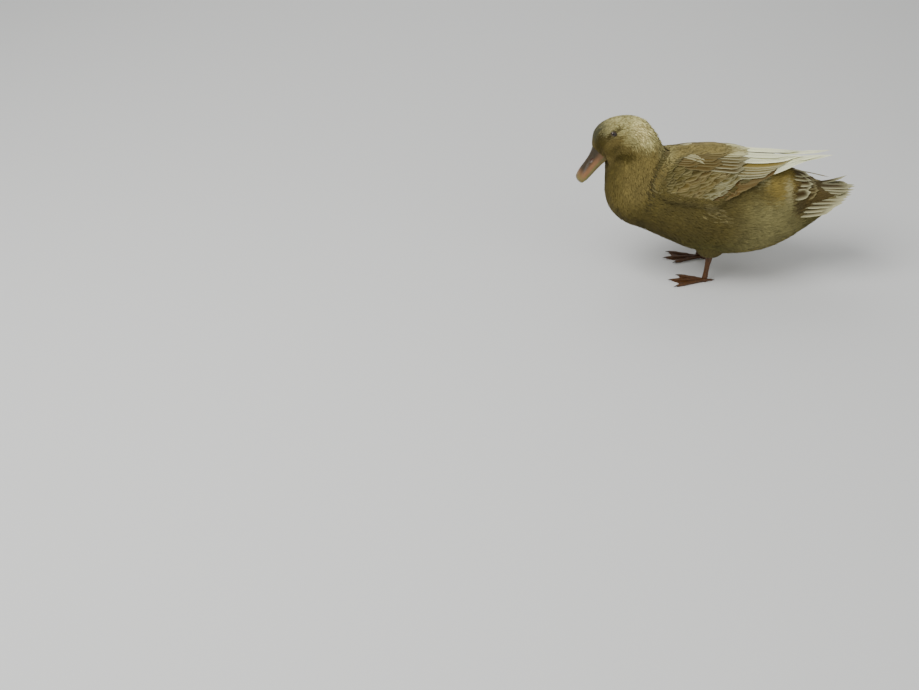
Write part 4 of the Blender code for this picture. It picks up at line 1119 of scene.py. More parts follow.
def body_tier(along, around, chance):
    """The feathers of the body at these places, lying back along it."""
    surface, wild = body_surface(), sizes().feather_ruffle
    depth, length, _, half, lift = table(COAT, along).T
    length = length * chance.normal(1, COAT_SPREAD["length"], len(along))
    run, girth = surface.scale(along, around)
    stations = np.array(SMALL_STATIONS)
    drift = chance.normal(0, COAT_SPREAD["drift"] * wild, len(along)) * length / girth
    paths = along[:, None] + stations * (length / run)[:, None]
    sides = around[:, None] + stations**DRIFT_CURVE * drift[:, None]
    lift = lift + NAPE_RISE * spot(along, share_down(around), *NAPE)
    tip = TIP_STANDS + np.abs(chance.normal(0, 1, len(along))) * lift * wild
    root = ROOT_DEPTH * depth[:, None]
    height = -root + (root + tip[:, None]) * stations**COAT_CURVE
    points, normals = surface.point(paths, sides), surface.normal(paths, sides)
    over_wing = wing_cover(points, *OVERLAP_COVER) * (WING_LIFT + OVERLAP_RISE)
    centre = (1 - smoothstep(*MANTLE_ANGLE, wing_angle(points))) * band(paths, *MANTLE)
    height = height + np.maximum(over_wing, centre * WING_LIFT)
    height = height + TUFT_RISE * spot(paths, share_down(sides), *TUFT)
    height = height - GROOVE_DEEP * wing_groove(paths, share_down(sides))
    centres = points + normals * height[..., None]
    half = half * chance.normal(1, COAT_SPREAD["width"], len(along))
    tier = Tier(centres, normals, half, stations, "body", SMALL_ACROSS)
    tier.give(roll=chance.normal(0, COAT_SPREAD["roll"] * wild, len(along)))
    tier.give(thick=np.maximum(COAT_THIN, COAT_THICK * length), root=unwrap(along, around))
    tier.give(rim=1.0, tip=0.8, ragged=0.0, root_light=0.88)
    seen = along + SEEN_SHARE * length / run
    tier.core, tier.edge, tier.edging = body_tints(seen, around, chance)
    near_tip = points[:, -2]
    # Painted shadow of the wing's edge on the feathers just beside it.
    shade = wing_cover(near_tip, *SHADE_COVER) * (1 - wing_cover(near_tip, *UNSHADED_COVER))
    tone = chance.normal(1, COAT_SPREAD["tint"], (len(along), 1))
    tier.core = tier.core * tone * (1 - OVERLAP_SHADE * shade)[:, None]
    return tier


def unwrap(along, around):
    """The place of a point of the body on its flat map, along and round it."""
    across = UNWRAP_LONG * np.clip(along, 0, 1)
    return UNWRAP_MARGIN + np.stack([across, UNWRAP_ROUND * np.mod(around, 1.0)], axis=-1)


def hidden_by_wing(along, around):
    points = body_surface().point(along, around)
    y, angle = points[:, 1] - SHIFT_Y, wing_angle(points)
    behind_front = y > table(WING_FRONT, angle)[:, 0] + BARE_FRONT
    above_low = angle < table(WING_LOW, y)[:, 0] - BARE_LOW
    return behind_front & above_low & (angle > BARE_TOP) & (y < WING_END_Y - BARE_END)


def hidden_by_eye(along, around):
    points = body_surface().point(along, around)
    hidden = np.zeros(len(points), bool)
    for hit, _ in eye_places():
        offset = points - np.array(hit)
        offset[:, 2] *= LID_WIDE / (LID_HIGH + LID_THICK)
        hidden |= np.linalg.norm(offset, axis=1) < LID_WIDE + 0.0003
    return hidden


def make_coat(material):
    chance = np.random.default_rng(sizes().seed)
    for name, start, end in COAT_ZONES:
        along, around = body_roots(start, end, chance)
        free = ~hidden_by_wing(along, around)
        if start < PLACES["nape"]:
            free &= ~hidden_by_eye(along, around)
        tier = body_tier(along[free], around[free], chance)
        feather_object("coat_" + name, [tier], material, sizes().seed + 1)


def thigh_rings(sign, rows, columns):
    share = np.linspace(0, 1, rows)[:, None]
    angle = full_turn(columns)[None, :]
    size = THIGH_HALF * np.sqrt(np.maximum(1 - share**THIGH_TAPER, 0)) + HOCK_HALF
    x = sign * LEG_X + size * THIGH_FLAT * np.cos(angle)
    y = THIGH_Y + (HOCK_Y - THIGH_Y) * share + size * np.sin(angle) + SHIFT_Y
    z = THIGH_TOP + (HOCK_Z - THIGH_TOP) * share + 0 * angle
    return np.stack([x, y, z], axis=-1)


def thigh_tier(sign, chance):
    """The short feathers of a thigh, lying down it."""
    surface = Surface(thigh_rings(sign, *THIGH_COAT_STEPS)[:, ::-1], wraps=True)
    rings = []
    for row, place in enumerate(np.linspace(*THIGH_SPAN, THIGH_ROWS)):
        count = int(THIGH_COUNT - THIGH_THINNING * place)
        rings.append(root_ring(row, place, count, 1, THIGH_SCATTER, chance))
    along, around = np.concatenate(rings, axis=1)
    stations = np.array(SMALL_STATIONS)
    length = THIGH_FEATHER * (1 - THIGH_SHORTER * along)
    paths = np.minimum(along[:, None] + stations * (length / (THIGH_TOP - HOCK_Z))[:, None], 1.0)
    sides = np.broadcast_to(around[:, None], paths.shape)
    height = -THIGH_ROOT + THIGH_RISE * stations**THIGH_CURVE
    normals = surface.normal(paths, sides)
    centres = surface.point(paths, sides) + normals * height[None, :, None]
    tier = Tier(centres, normals, THIGH_WIDTH * length, stations, "body", SMALL_ACROSS)
    tier.roll = chance.normal(0, THIGH_SPREAD["roll"], len(along))
    tone = chance.normal(1.0, THIGH_SPREAD["tint"], (len(along), 1))
    tier.core = paint("belly") * tone * THIGH_TONE
    tier.edge = mix(tier.core, paint("straw"), np.full(len(along), THIGH_STRAW))
    share = np.stack([along, np.mod(around, 1.0)], axis=-1)
    tier.root = THIGH_UNWRAP[sign] + THIGH_UNWRAP_SIZE * share
    return tier


def make_skin(material):
    """One closed skin for head, neck, body and thighs, under the coat by its depth."""
    surface = body_surface()
    along, around = body_grid(SKIN_ROWS, SKIN_COLUMNS)
    depth = table(COAT, along)[..., 0]
    points = surface.point(along, around) - surface.normal(along, around) * depth[..., None]
    skin = mesh_object("skin", points, tube_faces(SKIN_ROWS, SKIN_COLUMNS), material, 180)
    for _, sign in SIDES:
        rings = thigh_rings(sign, *THIGH_SKIN_STEPS)
        middle = np.array((sign * LEG_X, THIGH_Y + SHIFT_Y, 0.0))
        rings = rings + (middle - rings) * (1, 1, 0) * THIGH_SKIN_DEPTH
        faces = tube_faces(*THIGH_SKIN_STEPS)
        join_solid(skin, mesh_object("thigh_shape", rings[:, ::-1], faces, None, 180))
    dress_skin(skin)
    return skin


def body_grid(rows, columns):
    """Shares along and around the body over an even grid."""
    along = np.linspace(0.0, 1.0, rows)[:, None] + np.zeros((1, columns))
    return along, np.arange(columns)[None, :] / columns + np.zeros((rows, 1))


def join_solid(item, other):
    fix_normals(item)
    fix_normals(other)
    modifier = item.modifiers.new("join", "BOOLEAN")
    modifier.operation = "UNION"
    modifier.solver = "MANIFOLD"
    modifier.object = other
    graph = bpy.context.evaluated_depsgraph_get()
    result = bpy.data.meshes.new_from_object(item.evaluated_get(graph))
    item.modifiers.clear()
    old = item.data
    item.data = result
    bpy.data.meshes.remove(old)
    bpy.data.objects.remove(other, do_unlink=True)


def fix_normals(item):
    mesh = bmesh.new()
    mesh.from_mesh(item.data)
    bmesh.ops.recalc_face_normals(mesh, faces=mesh.faces)
    mesh.to_mesh(item.data)
    mesh.free()


def dress_skin(skin):
    """Paints the skin with the coat's own colours, and gives it its flat map."""
    data = skin.data
    data.shade_smooth()
    points = np.empty(len(data.vertices) * 3, np.float32)
    data.vertices.foreach_get("co", points)
    along, around = body_grid(*SKIN_PAINT_STEPS)
    samples = body_surface().point(along, around).reshape(-1, 3)
    nearest = nearest_rows(points.reshape(-1, 3).astype(float), samples)
    along, around = along.ravel()[nearest], around.ravel()[nearest]
    core, edge, _ = body_tints(along, around)
    paint_points(skin, mix(core, edge, np.full(len(core), SKIN_EDGE_SHARE)))
    flat = unwrap(along, around)[corner_points(data)]
    layer = data.uv_layers.new(name="OFBake")
    for face in data.polygons:
        span = range(face.loop_start, face.loop_start + face.loop_total)
        ends = flat[span, 1]
        if ends.max() - ends.min() > UNWRAP_ROUND / 2:
            flat[[i for i in span if flat[i, 1] < UNWRAP_ROUND / 2], 1] += UNWRAP_ROUND
    layer.data.foreach_set("uv", flat.astype(np.float32).ravel())


def nearest_rows(points, samples):
    found = np.empty(len(points), int)
    for start in range(0, len(points), POINTS_AT_ONCE):
        part = points[start : start + POINTS_AT_ONCE]
        away = ((part[:, None, :] - samples[None, :, :]) ** 2).sum(-1)
        found[start : start + len(part)] = away.argmin(axis=1)
    return found


# Wings


def lay_on_wing(y, angle, height):
    """Points and normals over the left wing's surface."""
    surface = wing_surface()
    along, around = wing_place(y, angle)
    normals = surface.normal(along, around)
    points = surface.point(along, around) + normals * np.asarray(height)[..., None]
    return points, normals


def mirror(points, sign):
    return points * np.array((sign, 1.0, 1.0))


def wing_tier(sign, row, chance):
    """The feathers of one tier, from its row of the table."""
    kind, count, root_in, tip_in, root_out, tip_out, half, low, high, shape = row[:10]
    core_in, core_out, edge, edging = row[10:]
    share = np.linspace(0, 1, count)
    wander = chance.uniform(-WING_WANDER, WING_WANDER, (3, count))
    moved = share + wander[0] / count
    root = np.outer(1 - share, root_in) + np.outer(share, root_out)
    tip = np.outer(1 - moved, tip_in) + np.outer(moved, tip_out)
    if kind == "primary":
        tip[:, 0] = tip_in[0] + (tip_out[0] - tip_in[0]) * share**PRIMARY_CROWDING
    else:
        spread = TIP_SPREAD.get(kind.split()[-1], OTHER_TIP_SPREAD)
        tip[:, 0] += chance.normal(0, spread, count)
        root[:, 0] += chance.normal(0, ROOT_SPREAD, count)
    stations = np.array(LARGE_STATIONS)
    y = root[:, :1] + (tip - root)[:, :1] * stations
    angle = root[:, 1:] + (tip - root)[:, 1:] * stations ** WING_BEND.get(kind, 1.0)
    angle = angle + WING_BOW * np.sin(stations * math.pi)[None, :]
    layer = WING_LAYER * wander[1] / WING_WANDER
    height = low + (high + layer[:, None] - low) * stations**WING_CURVE
    points, normals = lay_on_wing(y, angle, height)
    width = half * (1 + wander[2])
    reach = width[:, None] * np.abs(normals[..., 2]) + WING_CLEARANCE
    points[..., 0] = np.maximum(points[..., 0], reach)
    tier = Tier(mirror(points, sign), mirror(normals, sign), width, stations, shape, LARGE_ACROSS)
    tier.give(thick=0.0005, cup=0.02, ragged=0.012, outer=sign)
    tier.give(shaft=0.0002 if shape == "broad" else 0.00035)
    tier.roll = WING_ROLL * sign + chance.normal(0, WING_SPREAD["roll"], count)
    mottled = WING_SPREAD["colour"] if shape == "covert" else 0.0
    blend = np.clip(share + chance.normal(0, mottled, count), 0, 1)
    if "scapular" in kind:
        blend = blend**SCAPULAR_BLEND
    tone = chance.normal(1, WING_SPREAD["tint"], (count, 1))
    tier.core = mix(paint(core_in), paint(core_out), blend) * tone
    tier.give(edge=paint(edge), edging=edging * chance.normal(1, WING_SPREAD["edging"], count))
    tier.rim, tier.tip, tier.root_light = FEATHER_EDGES.get(kind, OTHER_EDGES)
    places = np.stack(wing_place(root[:, 0], root[:, 1]), axis=-1)
    tier.root = MAP_MARGIN + (1 - 2 * MAP_MARGIN) * places
    return tier


def make_wing(side, sign, material):
    chance = np.random.default_rng(sizes().seed + 20 + sign)
    tiers = [wing_tier(sign, row, chance) for row in WING_TIERS]
    item = feather_object("wing_feathers_" + side, tiers, material, sizes().seed + 3)
    wing_bed(side, sign, material)
    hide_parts("wing_" + side)


def wing_bed(side, sign, material):
    """The thin flesh of the folded wing, in which the feathers root."""
    rows, columns = BED_STEPS
    across = np.linspace(0, 1, columns)
    upper, lower = np.empty((2, rows, columns, 3))
    for row, down in enumerate(np.linspace(0, 1, rows)):
        angle = np.full(columns, BED_TOP_ANGLE)
        for _ in range(4):
            front = table(WING_FRONT, angle)[..., 0] + BED_FRONT
            y = front + (WING_END_Y - BED_REAR - front) * down
            low = table(WING_LOW, y)[..., 0] - BED_LOW
            angle = BED_TOP_ANGLE + (low - BED_TOP_ANGLE) * across
        inset = np.minimum(np.minimum(across, 1 - across), min(down, 1 - down))
        height = -BED_SUNK - BED_ROLL * np.maximum(1 - inset / BED_RIM, 0) ** 2
        points, normals = lay_on_wing(y, angle, height)
        least = WING_CLEARANCE + BED_CLEARANCE
        points[..., 0] = np.maximum(points[..., 0], least)
        under = points - normals * BED_THICK
        under[..., 0] = np.maximum(np.abs(under[..., 0]), least)
        upper[row], lower[row] = mirror(points, sign), mirror(under, sign)
    count = 2 * columns
    ring = np.concatenate([upper, lower[:, ::-1]], axis=1)
    bed = mesh_object("wing_bed_" + side, ring, tube_faces(rows, count), material)
    fix_normals(bed)
    top = 1 - smoothstep(*BED_BLEND, np.concatenate([across, across[::-1]]))
    # The bed's lower part takes the secondaries' colour with its painted shade.
    tint = mix(paint("rust") * BED_RUST_TONE, paint("covert"), np.tile(top, (rows, 1)))
    paint_points(bed, tint)
    places = [np.linspace(MAP_MARGIN, 1 - MAP_MARGIN, steps) for steps in (rows, count)]
    grid = np.stack(np.meshgrid(*places, indexing="ij"), -1)
    map_points(bed, "OFBake", grid)
    map_points(bed, "Barbs", grid)
    ride(bed)


# Tail


def tail_tips():
    index = np.linspace(0, len(TAIL_TIPS) - 1, TAIL_PAIRS)
    return smooth_table(range(len(TAIL_TIPS)), TAIL_TIPS, index)


def tail_fan(chance):
    """The two halves of the tail, each from the middle feather outwards."""
    stations = np.array(LARGE_STATIONS)
    share = np.linspace(0, 1, TAIL_PAIRS)
    root, tips = table(TAIL_ROOTS, share), tail_tips()
    centres, normals, roots = [], [], []
    for side, sign in SIDES:
        for index in range(TAIL_PAIRS):
            tip = tips[index].copy()
            if sign < 0:
                tip[2] += TAIL_LEAN * share[index]
            tip[:2] += chance.normal(0, TAIL_SPREAD["tip"], 2)
            path = root[index] + (tip - root[index]) * stations[:, None]
            if (side, index) == RAISED_FEATHER[:2]:
                path[:, 2] += RAISED_FEATHER[2] * stations**2
            path[:, 2] += TAIL_STAGGER * (share[index] - 0.5) - TAIL_SAG * np.sin(stations * math.pi)
            path[:, 2] += TAIL_STAGGER * sign * (1 - share[index])
            path[:, 1] += SHIFT_Y
            tilt = TAIL_ROLL * share[index]
            normal = np.array((math.sin(tilt), 0, math.cos(tilt)))
            centres.append(mirror(path, sign))
            normals.append(np.tile(mirror(normal, sign), (len(stations), 1)))
            roots.append((TAIL_MAP[0] + TAIL_MAP_HALF * sign * share[index], TAIL_MAP[1]))
    count = len(centres)
    half = np.full(count, TAIL_HALF)
    tier = Tier(np.array(centres), np.array(normals), half, stations, "long", LARGE_ACROSS)
    signs = np.repeat([1, -1], TAIL_PAIRS)
    tier.give(roll=-0.10 * signs, thick=0.0007, shaft=0.0004, ragged=0.02, root=roots)
    tier.give(edge=paint("cream"), edging=0.80, outer=signs, rim=1.3, tip=1.0, tip_start=0.55)
    tier.core = paint("tail") * chance.normal(1, TAIL_SPREAD["tint"], (count, 1))
    return tier


def body_row(row, chance):
    """A row of longer feathers round the body."""
    count, first, last, place, length, half, lift, core, edge = row
    surface = body_surface()
    stations = np.array(LARGE_STATIONS)
    around = np.linspace(first, last, count) / 360 + chance.normal(0, ROW_SPREAD["around"], count)
    start = place + chance.normal(0, ROW_SPREAD["place"], count)
    run, _ = surface.scale(start, around)
    long = length * chance.normal(1, ROW_SPREAD["length"], count)
    paths = start[:, None] + stations[None, :] * (long / run)[:, None]
    sides = around[:, None] + 0 * paths
    rise = ROW_ROOT + lift * chance.uniform(*ROW_RISE, (count, 1))
    height = -ROW_ROOT + rise * stations**ROW_CURVE
    normals = surface.normal(paths, sides)
    centres = surface.point(paths, sides) + normals * height[..., None]
    tier = Tier(centres, normals, np.full(count, half), stations, "broad", LARGE_ACROSS)
    tier.give(thick=0.0005, cup=0.05, roll=-0.10 * np.sign(around), shaft=0.0003, ragged=0.02)
    tier.give(edge=paint(edge), rim=2.0, edging=0.8)
    tier.root = unwrap(start, around) * ROW_MAP[0] + ROW_MAP[1]
    tier.core = paint(core) * chance.normal(0.95, ROW_SPREAD["tint"], (count, 1))
    return tier


def stray_tier():
    """One slim feather that stands out over the far side of the tail."""
    stations = np.array(LARGE_STATIONS)
    path = smooth_table((0.0, 0.5, 1.0), STRAY_FEATHER, stations)[None]
    facing = np.tile(STRAY_FACING, (1, len(stations), 1))
    tier = Tier(path, facing, [STRAY_HALF], stations, "long", LARGE_ACROSS)
    tier.give(core=paint("tan"), edge=paint("straw"), tip_start=0.6, shaft=0.0003, root=STRAY_MAP)
    return tier


def make_tail(material):
    chance = np.random.default_rng(sizes().seed + 40)
    tiers = [tail_fan(chance), stray_tier()] + [body_row(row, chance) for row in BODY_ROWS]
    item = feather_object("tail_feathers", tiers, material, sizes().seed + 5)
    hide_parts("tail")


# Bill


def bill_axes():
    """Base point, length, direction, ridge direction and side of the bill, before the head's turn."""
    along = unit(BILL_TIP - BILL_BASE)
    side = np.array((1.0, 0.0, 0.0))
    ridge = np.cross(side, along)
    ridge = ridge if ridge[2] > 0 else -ridge
    return BILL_BASE, np.linalg.norm(BILL_TIP - BILL_BASE), along, ridge, side


def bill_points(share, height, across):
    base, length, along, ridge, side = bill_axes()
    points = base + along * (length * share)[..., None]
    return turned(points + ridge * height[..., None] + side * across[..., None])


def half_bill(rows, upper):
    """The grid of one half of the bill: each point's share, height, place across and edge."""
    crowded = 1 - (1 - np.linspace(0, 1, BILL_ROWS)) ** BILL_CROWDING
    share = rows[0][0] + (rows[-1][0] - rows[0][0]) * crowded
    angle = np.linspace(0, math.pi, BILL_COLUMNS)[None, :]
    first, second, half = table(rows, share).T[..., None]
    if upper:
        far, edge, (widths, heights), roof = first, second, UPPER_SECTION, UPPER_ROOF
    else:
        far, edge, (widths, heights), roof = second, first - MOUTH_GAP, LOWER_SECTION, LOWER_ROOF
    across = half * signed_power(np.cos(angle), widths)
    height = edge + (far - edge) * np.sin(angle) ** heights
    floor = np.linspace(-1, 1, BILL_FLOOR)[None, 1:-1] * half * FLOOR_WIDTH
    across = np.concatenate([across, floor], axis=1)
    height = np.concatenate([height, edge + roof + 0 * floor], axis=1)
    return share[:, None] + 0 * across, height, across, edge + 0 * across


def dress_upper_bill(share, height, across, rise, tint):
    """Presses in the nostrils, raises the nail, rolls the lip and paints the upper half."""
    length = bill_axes()[1]
    away_x = (share - NOSTRIL_PLACE[0]) * length / NOSTRIL_HALF[0]
    away = np.hypot(away_x, (height - NOSTRIL_PLACE[1]) / NOSTRIL_HALF[1])
    hole = np.maximum(1 - away**2, 0)
    across = across - np.sign(across) * NOSTRIL_DEEP * np.minimum(hole * NOSTRIL_STEEP, 1)
    rim = np.exp(-((away - RIM_PLACE) ** 2) / RIM_SOFT)
    across = across + np.sign(across) * NOSTRIL_RIM * rim
    ahead = (share - NAIL_PLACE) * length / NAIL_HALF[0]
    nail = np.maximum(1 - ahead**2 - (across / NAIL_HALF[1]) ** 2, 0)
    nail = np.minimum(nail * NAIL_STEEP, 1)
    height = height + NAIL_RISE * nail * (rise > 0.002)
    lip = np.exp(-((rise - LIP_PLACE) ** 2) / LIP_SOFT)
    across = across * (1 + LIP_ROLL * lip)
    level = rise / (rise.max(axis=1, keepdims=True) + 1e-9)
    ridge = smoothstep(0.30 + 0.30 * share, 0.70 + 0.25 * share, level)
    for shade, strength in (
        (paint("bill_edge"), 1 - smoothstep(0.0015, 0.0050, rise)),
        (paint("bill_edge"), 0.8 * smoothstep(0.72, 0.95, share)),
        (paint("culmen"), 0.9 * ridge * (1 - smoothstep(0.60, 0.90, share))),
        (paint("culmen"), 0.35 * (1 - smoothstep(0.10, 0.32, share))),
        # Painted shade inside the nostril dents.
        (paint("mouth"), np.minimum(hole * 2.5, 1)),
        (paint("claw") * 1.6, 0.5 * nail * (rise > 0.001)),
    ):
        tint = mix(tint, shade, strength)
    return height, across, tint


def make_bill(material):
    chance = np.random.default_rng(sizes().seed + 60)
    for name, node, rows in (
        ("bill_top", "bill_upper", UPPER_BILL),
        ("bill_under", "bill_lower", LOWER_BILL),
    ):
        upper = rows is UPPER_BILL
        share, height, across, edge = half_bill(rows, upper)
        rise = height - edge
        tint = np.broadcast_to(paint("bill"), share.shape + (3,))
        if upper:
            height, across, tint = dress_upper_bill(share, height, across, rise, tint)
        else:
            tint = mix(tint, paint("bill_edge"), np.full(share.shape, 0.75))
            # Painted shade along the mouth line, under the edge of the upper half.
            tint = mix(tint, paint("mouth"), 0.6 * (np.abs(rise) < 0.0012))
        item = mesh_object(name, bill_points(share, height, across), tube_faces(*share.shape), material)
        fix_normals(item)
        paint_points(item, tint * chance.normal(1, BILL_BLOTCH, share.shape)[..., None])
        ride(item, (node,))


# Eyes


def eye_places():
    """Where each eye meets the side of the head, and which way it looks."""
    tree = closed_tree(body_rings(*EYE_RAY_STEPS))
    places = []
    for _, sign in SIDES:
        outside = Vector(turned(np.array((sign * EYE_RAY_START, EYE_Y, EYE_Z))))
        inside = Vector(turned(np.array((0.0, EYE_Y, EYE_Z))))
        hit, normal, _, _ = tree.ray_cast(outside, (inside - outside).normalized())
        places.append((hit, normal if normal.dot(outside - inside) > 0 else -normal))
    return places


def unit_ball(columns, rows):
    """Points and faces of a ball of radius 1, from its upper pole down to its lower one."""
    down = np.linspace(0, math.pi, rows + 1)[1:-1, None]
    turn = full_turn(columns)[None, :]
    x, y, z = np.sin(down) * np.cos(turn), np.sin(down) * np.sin(turn), np.cos(down) + 0 * turn
    rings = np.stack([x, y, z], axis=-1).reshape(-1, 3)
    points = np.concatenate([[(0, 0, 1)], rings, [(0, 0, -1)]])
    first = np.arange(columns) + 1
    last = first + (rows - 2) * columns
    upper = np.stack([0 * first, first, np.roll(first, -1)], axis=1)
    lower = np.stack([0 * last + len(points) - 1, np.roll(last, -1), last], axis=1)
    sides = grid_quads(rows - 1, columns, True)[:, ::-1] + 1
    return points, upper.tolist() + sides.tolist() + lower.tolist()


def make_eyes(eye_material, lid_material):
    for (side, sign), (hit, normal) in zip(SIDES, eye_places()):
        points, faces = unit_ball(*EYE_STEPS)
        facing = points[:, 2]
        facing_out = np.array(normal.to_track_quat("Z", "Y").to_matrix())
        points = np.array(hit - normal * EYE_SUNK) + EYE_RADIUS * points @ facing_out.T
        ball = mesh_object("eyeball_" + side, points, faces, eye_material, 180)
        iris = np.tile(paint("iris"), (len(points), 1))
        tint = mix(iris, iris * IRIS_RING_TONE, band(facing, *IRIS_RING))
        tint = mix(tint, iris * PUPIL_TONE, smoothstep(*PUPIL, facing))
        tint = mix(tint, paint("lid"), 1 - smoothstep(*EYE_SKIN, facing))
        paint_points(ball, tint)
        ride(ball, ("eye_" + side,))
        make_lids(side, sign, hit, normal, lid_material)


def make_lids(side, sign, hit, normal, material):
    """The rim of the lids, pointed at both corners and a little tilted."""
    forward = Vector((0, -1, 0)) - normal * normal.dot(Vector((0, -1, 0)))
    forward = Matrix.Rotation(LID_TILT * -sign, 3, normal) @ forward.normalized()
    upward = normal.cross(forward) * (1 if normal.cross(forward).z > 0 else -1)
    grid = np.empty(LID_STEPS + (3,))
    for row, turn in enumerate(full_turn(LID_STEPS[0])):
        wide = LID_WIDE * math.cos(turn)
        high = LID_HIGH * signed_power(math.sin(turn), LID_POINTED)
        middle = forward * wide + upward * high
        outward = middle.normalized()
        sink = -LID_SINK * (wide / LID_WIDE) ** 4 * LID_THICK
        swell = LID_THICK * (1.0 + LID_BROW * (math.sin(turn) > 0))
        for step, angle in enumerate(full_turn(LID_STEPS[1])):
            offset = outward * math.cos(angle) * swell + normal * (math.sin(angle) * LID_THICK + sink)
            grid[row, step] = hit + middle + offset
    faces = grid_quads(LID_STEPS[0] + 1, LID_STEPS[1], True) % (LID_STEPS[0] * LID_STEPS[1])
    lids = mesh_object("lids_" + side, grid, faces, material, 180)
    fix_normals(lids)
    paint_points(lids, np.tile(paint("lid"), (len(lids.data.vertices), 1)))
    ride(lids)


# Materials


def new_material(name, roughness, specular=0.3, sheen=0.0):
    material = bpy.data.materials.new(name)
    material.use_nodes = True
    shader = material.node_tree.nodes["Principled BSDF"]
    shader.inputs["Roughness"].default_value = roughness
    shader.inputs["Specular IOR Level"].default_value = specular
    shader.inputs["Sheen Weight"].default_value = sheen
    return material, shader


def add_node(material, kind, inputs=(), **settings):
    node = material.node_tree.nodes.new(kind)
    for name, value in settings.items():
        setattr(node, name, value)
    for name, value in dict(inputs).items():
        node.inputs[name].default_value = value
    return node


def wire(material, source, target):
    material.node_tree.links.new(source, target)


def math_node(material, operation, first, second):
    """A sum or other step on two values, each a number or another node's output."""
    node = add_node(material, "ShaderNodeMath", operation=operation)
    for socket, value in zip(node.inputs, (first, second)):
        if isinstance(value, (int, float)):
            socket.default_value = value
        else:
            wire(material, value, socket)
    return node.outputs[0]


def finish_material(material, shader, base, light, height, strength, depth):
    """Darkens a colour or another node's output by the light, and lays a relief over it."""
    mixed = add_node(material, "ShaderNodeMix", data_type="RGBA", blend_type="MULTIPLY")
    mixed.inputs[0].default_value = 1.0
    if isinstance(base, tuple):
        mixed.inputs[6].default_value = base
    else:
        wire(material, base, mixed.inputs[6])
    wire(material, light, mixed.inputs[7])
    wire(material, mixed.outputs[2], shader.inputs["Base Color"])
    bump = add_node(material, "ShaderNodeBump", {"Strength": strength, "Distance": depth})
    wire(material, height, bump.inputs["Height"])
    wire(material, bump.outputs[0], shader.inputs["Normal"])
    return material


def point_colour(material):
    return add_node(material, "ShaderNodeAttribute", attribute_name="Plumage").outputs["Color"]


def texture_node(material, kind, place, inputs, **settings):
    node = add_node(material, kind, inputs, **settings)
    wire(material, place, node.inputs["Vector"])
    return node


def plumage_material():
    """Feather colour from the points, with fine slanted barbs across each vane."""
    material, shader = new_material("plumage", 0.80, 0.12, 0.04)
    places = add_node(material, "ShaderNodeUVMap", uv_map="Barbs").outputs[0]
    split = add_node(material, "ShaderNodeSeparateXYZ")
    wire(material, places, split.inputs[0])
    reach = math_node(material, "ABSOLUTE", split.outputs[0], 0.0)
    slant = math_node(material, "MULTIPLY", reach, BARB_SLANT)
    back = math_node(material, "SUBTRACT", split.outputs[1], slant)
    turns = math_node(material, "MULTIPLY", back, 2 * math.pi / sizes().barb_pitch)
    wave = math_node(material, "SINE", turns, 0.0)
    grains = {"Scale": 420.0, "Detail": 3.0, "Roughness": 0.6}
    noise = texture_node(material, "ShaderNodeTexNoise", places, grains)
    grain = math_node(material, "MULTIPLY", noise.outputs[0], GRAIN_SHADE)
    barbs = math_node(material, "MULTIPLY", wave, BARB_SHADE)
    light = math_node(material, "ADD", grain, 1 - GRAIN_SHADE / 2)
    light = math_node(material, "ADD", light, barbs)
    return finish_material(material, shader, point_colour(material), light, light, 0.35, 0.0003)


def grained_material(name, roughness, scale, depth, specular=0.4, contrast=0.25):
    """Colour from the points, mottled and a little rough."""
    material, shader = new_material(name, roughness, specular)
    place = add_node(material, "ShaderNodeTexCoord").outputs["Object"]
    grains = {"Scale": scale, "Detail": 5.0, "Roughness": 0.6}
    noise = texture_node(material, "ShaderNodeTexNoise", place, grains).outputs[0]
    spread = math_node(material, "MULTIPLY", noise, 2 * contrast)
    light = math_node(material, "ADD", spread, 1 - contrast)
    return finish_material(material, shader, point_colour(material), light, noise, 0.4, depth)


def scaled_material(name, base, roughness, scale, gap_depth):
    """Small plates of horn with darker seams between them."""
    material, shader = new_material(name, roughness, 0.4)
    place = add_node(material, "ShaderNodeTexCoord").outputs["Object"]
    cell = ("ShaderNodeTexVoronoi", place, {"Scale": scale})
    cells = texture_node(material, *cell, feature="DISTANCE_TO_EDGE")
    tone = texture_node(material, *cell)
    seams = {"From Max": 0.12, "To Min": 0.45, "To Max": 1.0}
    ramp = add_node(material, "ShaderNodeMapRange", seams)
    wire(material, cells.outputs["Distance"], ramp.inputs["Value"])
    shade = math_node(material, "MULTIPLY", tone.outputs["Distance"], -0.35)
    shade = math_node(material, "ADD", shade, 1.1)
    light = math_node(material, "MULTIPLY", ramp.outputs[0], shade)
    colour_of_plates = (*base, 1.0)
    return finish_material(material, shader, colour_of_plates, light, ramp.outputs[0], 0.6, gap_depth)


def dress_legs():
    """Legs, feet and claws keep their frame shapes and get scales and horn."""
    # The leg colour carries painted shade from the body above.
    legs = scaled_material("leg_scales", paint("leg"), 0.5, 330.0, 0.0006)
    horn = scaled_material("claw_horn", paint("claw"), 0.35, 900.0, 0.0002)
    for name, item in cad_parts.items():
        if name.startswith(("leg_", "foot_", "claw_")):
            item.data.materials.clear()
            item.data.materials.append(horn if name.startswith("claw_") else legs)


# Operators and panel


def find_material(name, maker):
    return bpy.data.materials.get(name) or maker()


def plumage():
    return find_material("plumage", plumage_material)


class DUCK_OT_skin(bpy.types.Operator):
    """Lay one skin over head, neck, body and thighs"""

    bl_idname = "duck.skin"
    bl_label = "Skin"

    def execute(self, context):
        skin = make_skin(grained_material("down", 0.85, 900.0, 0.0004, 0.2))
        ride(skin, ("head", "neck", "torso", "thigh_left", "thigh_right"))
        return {"FINISHED"}


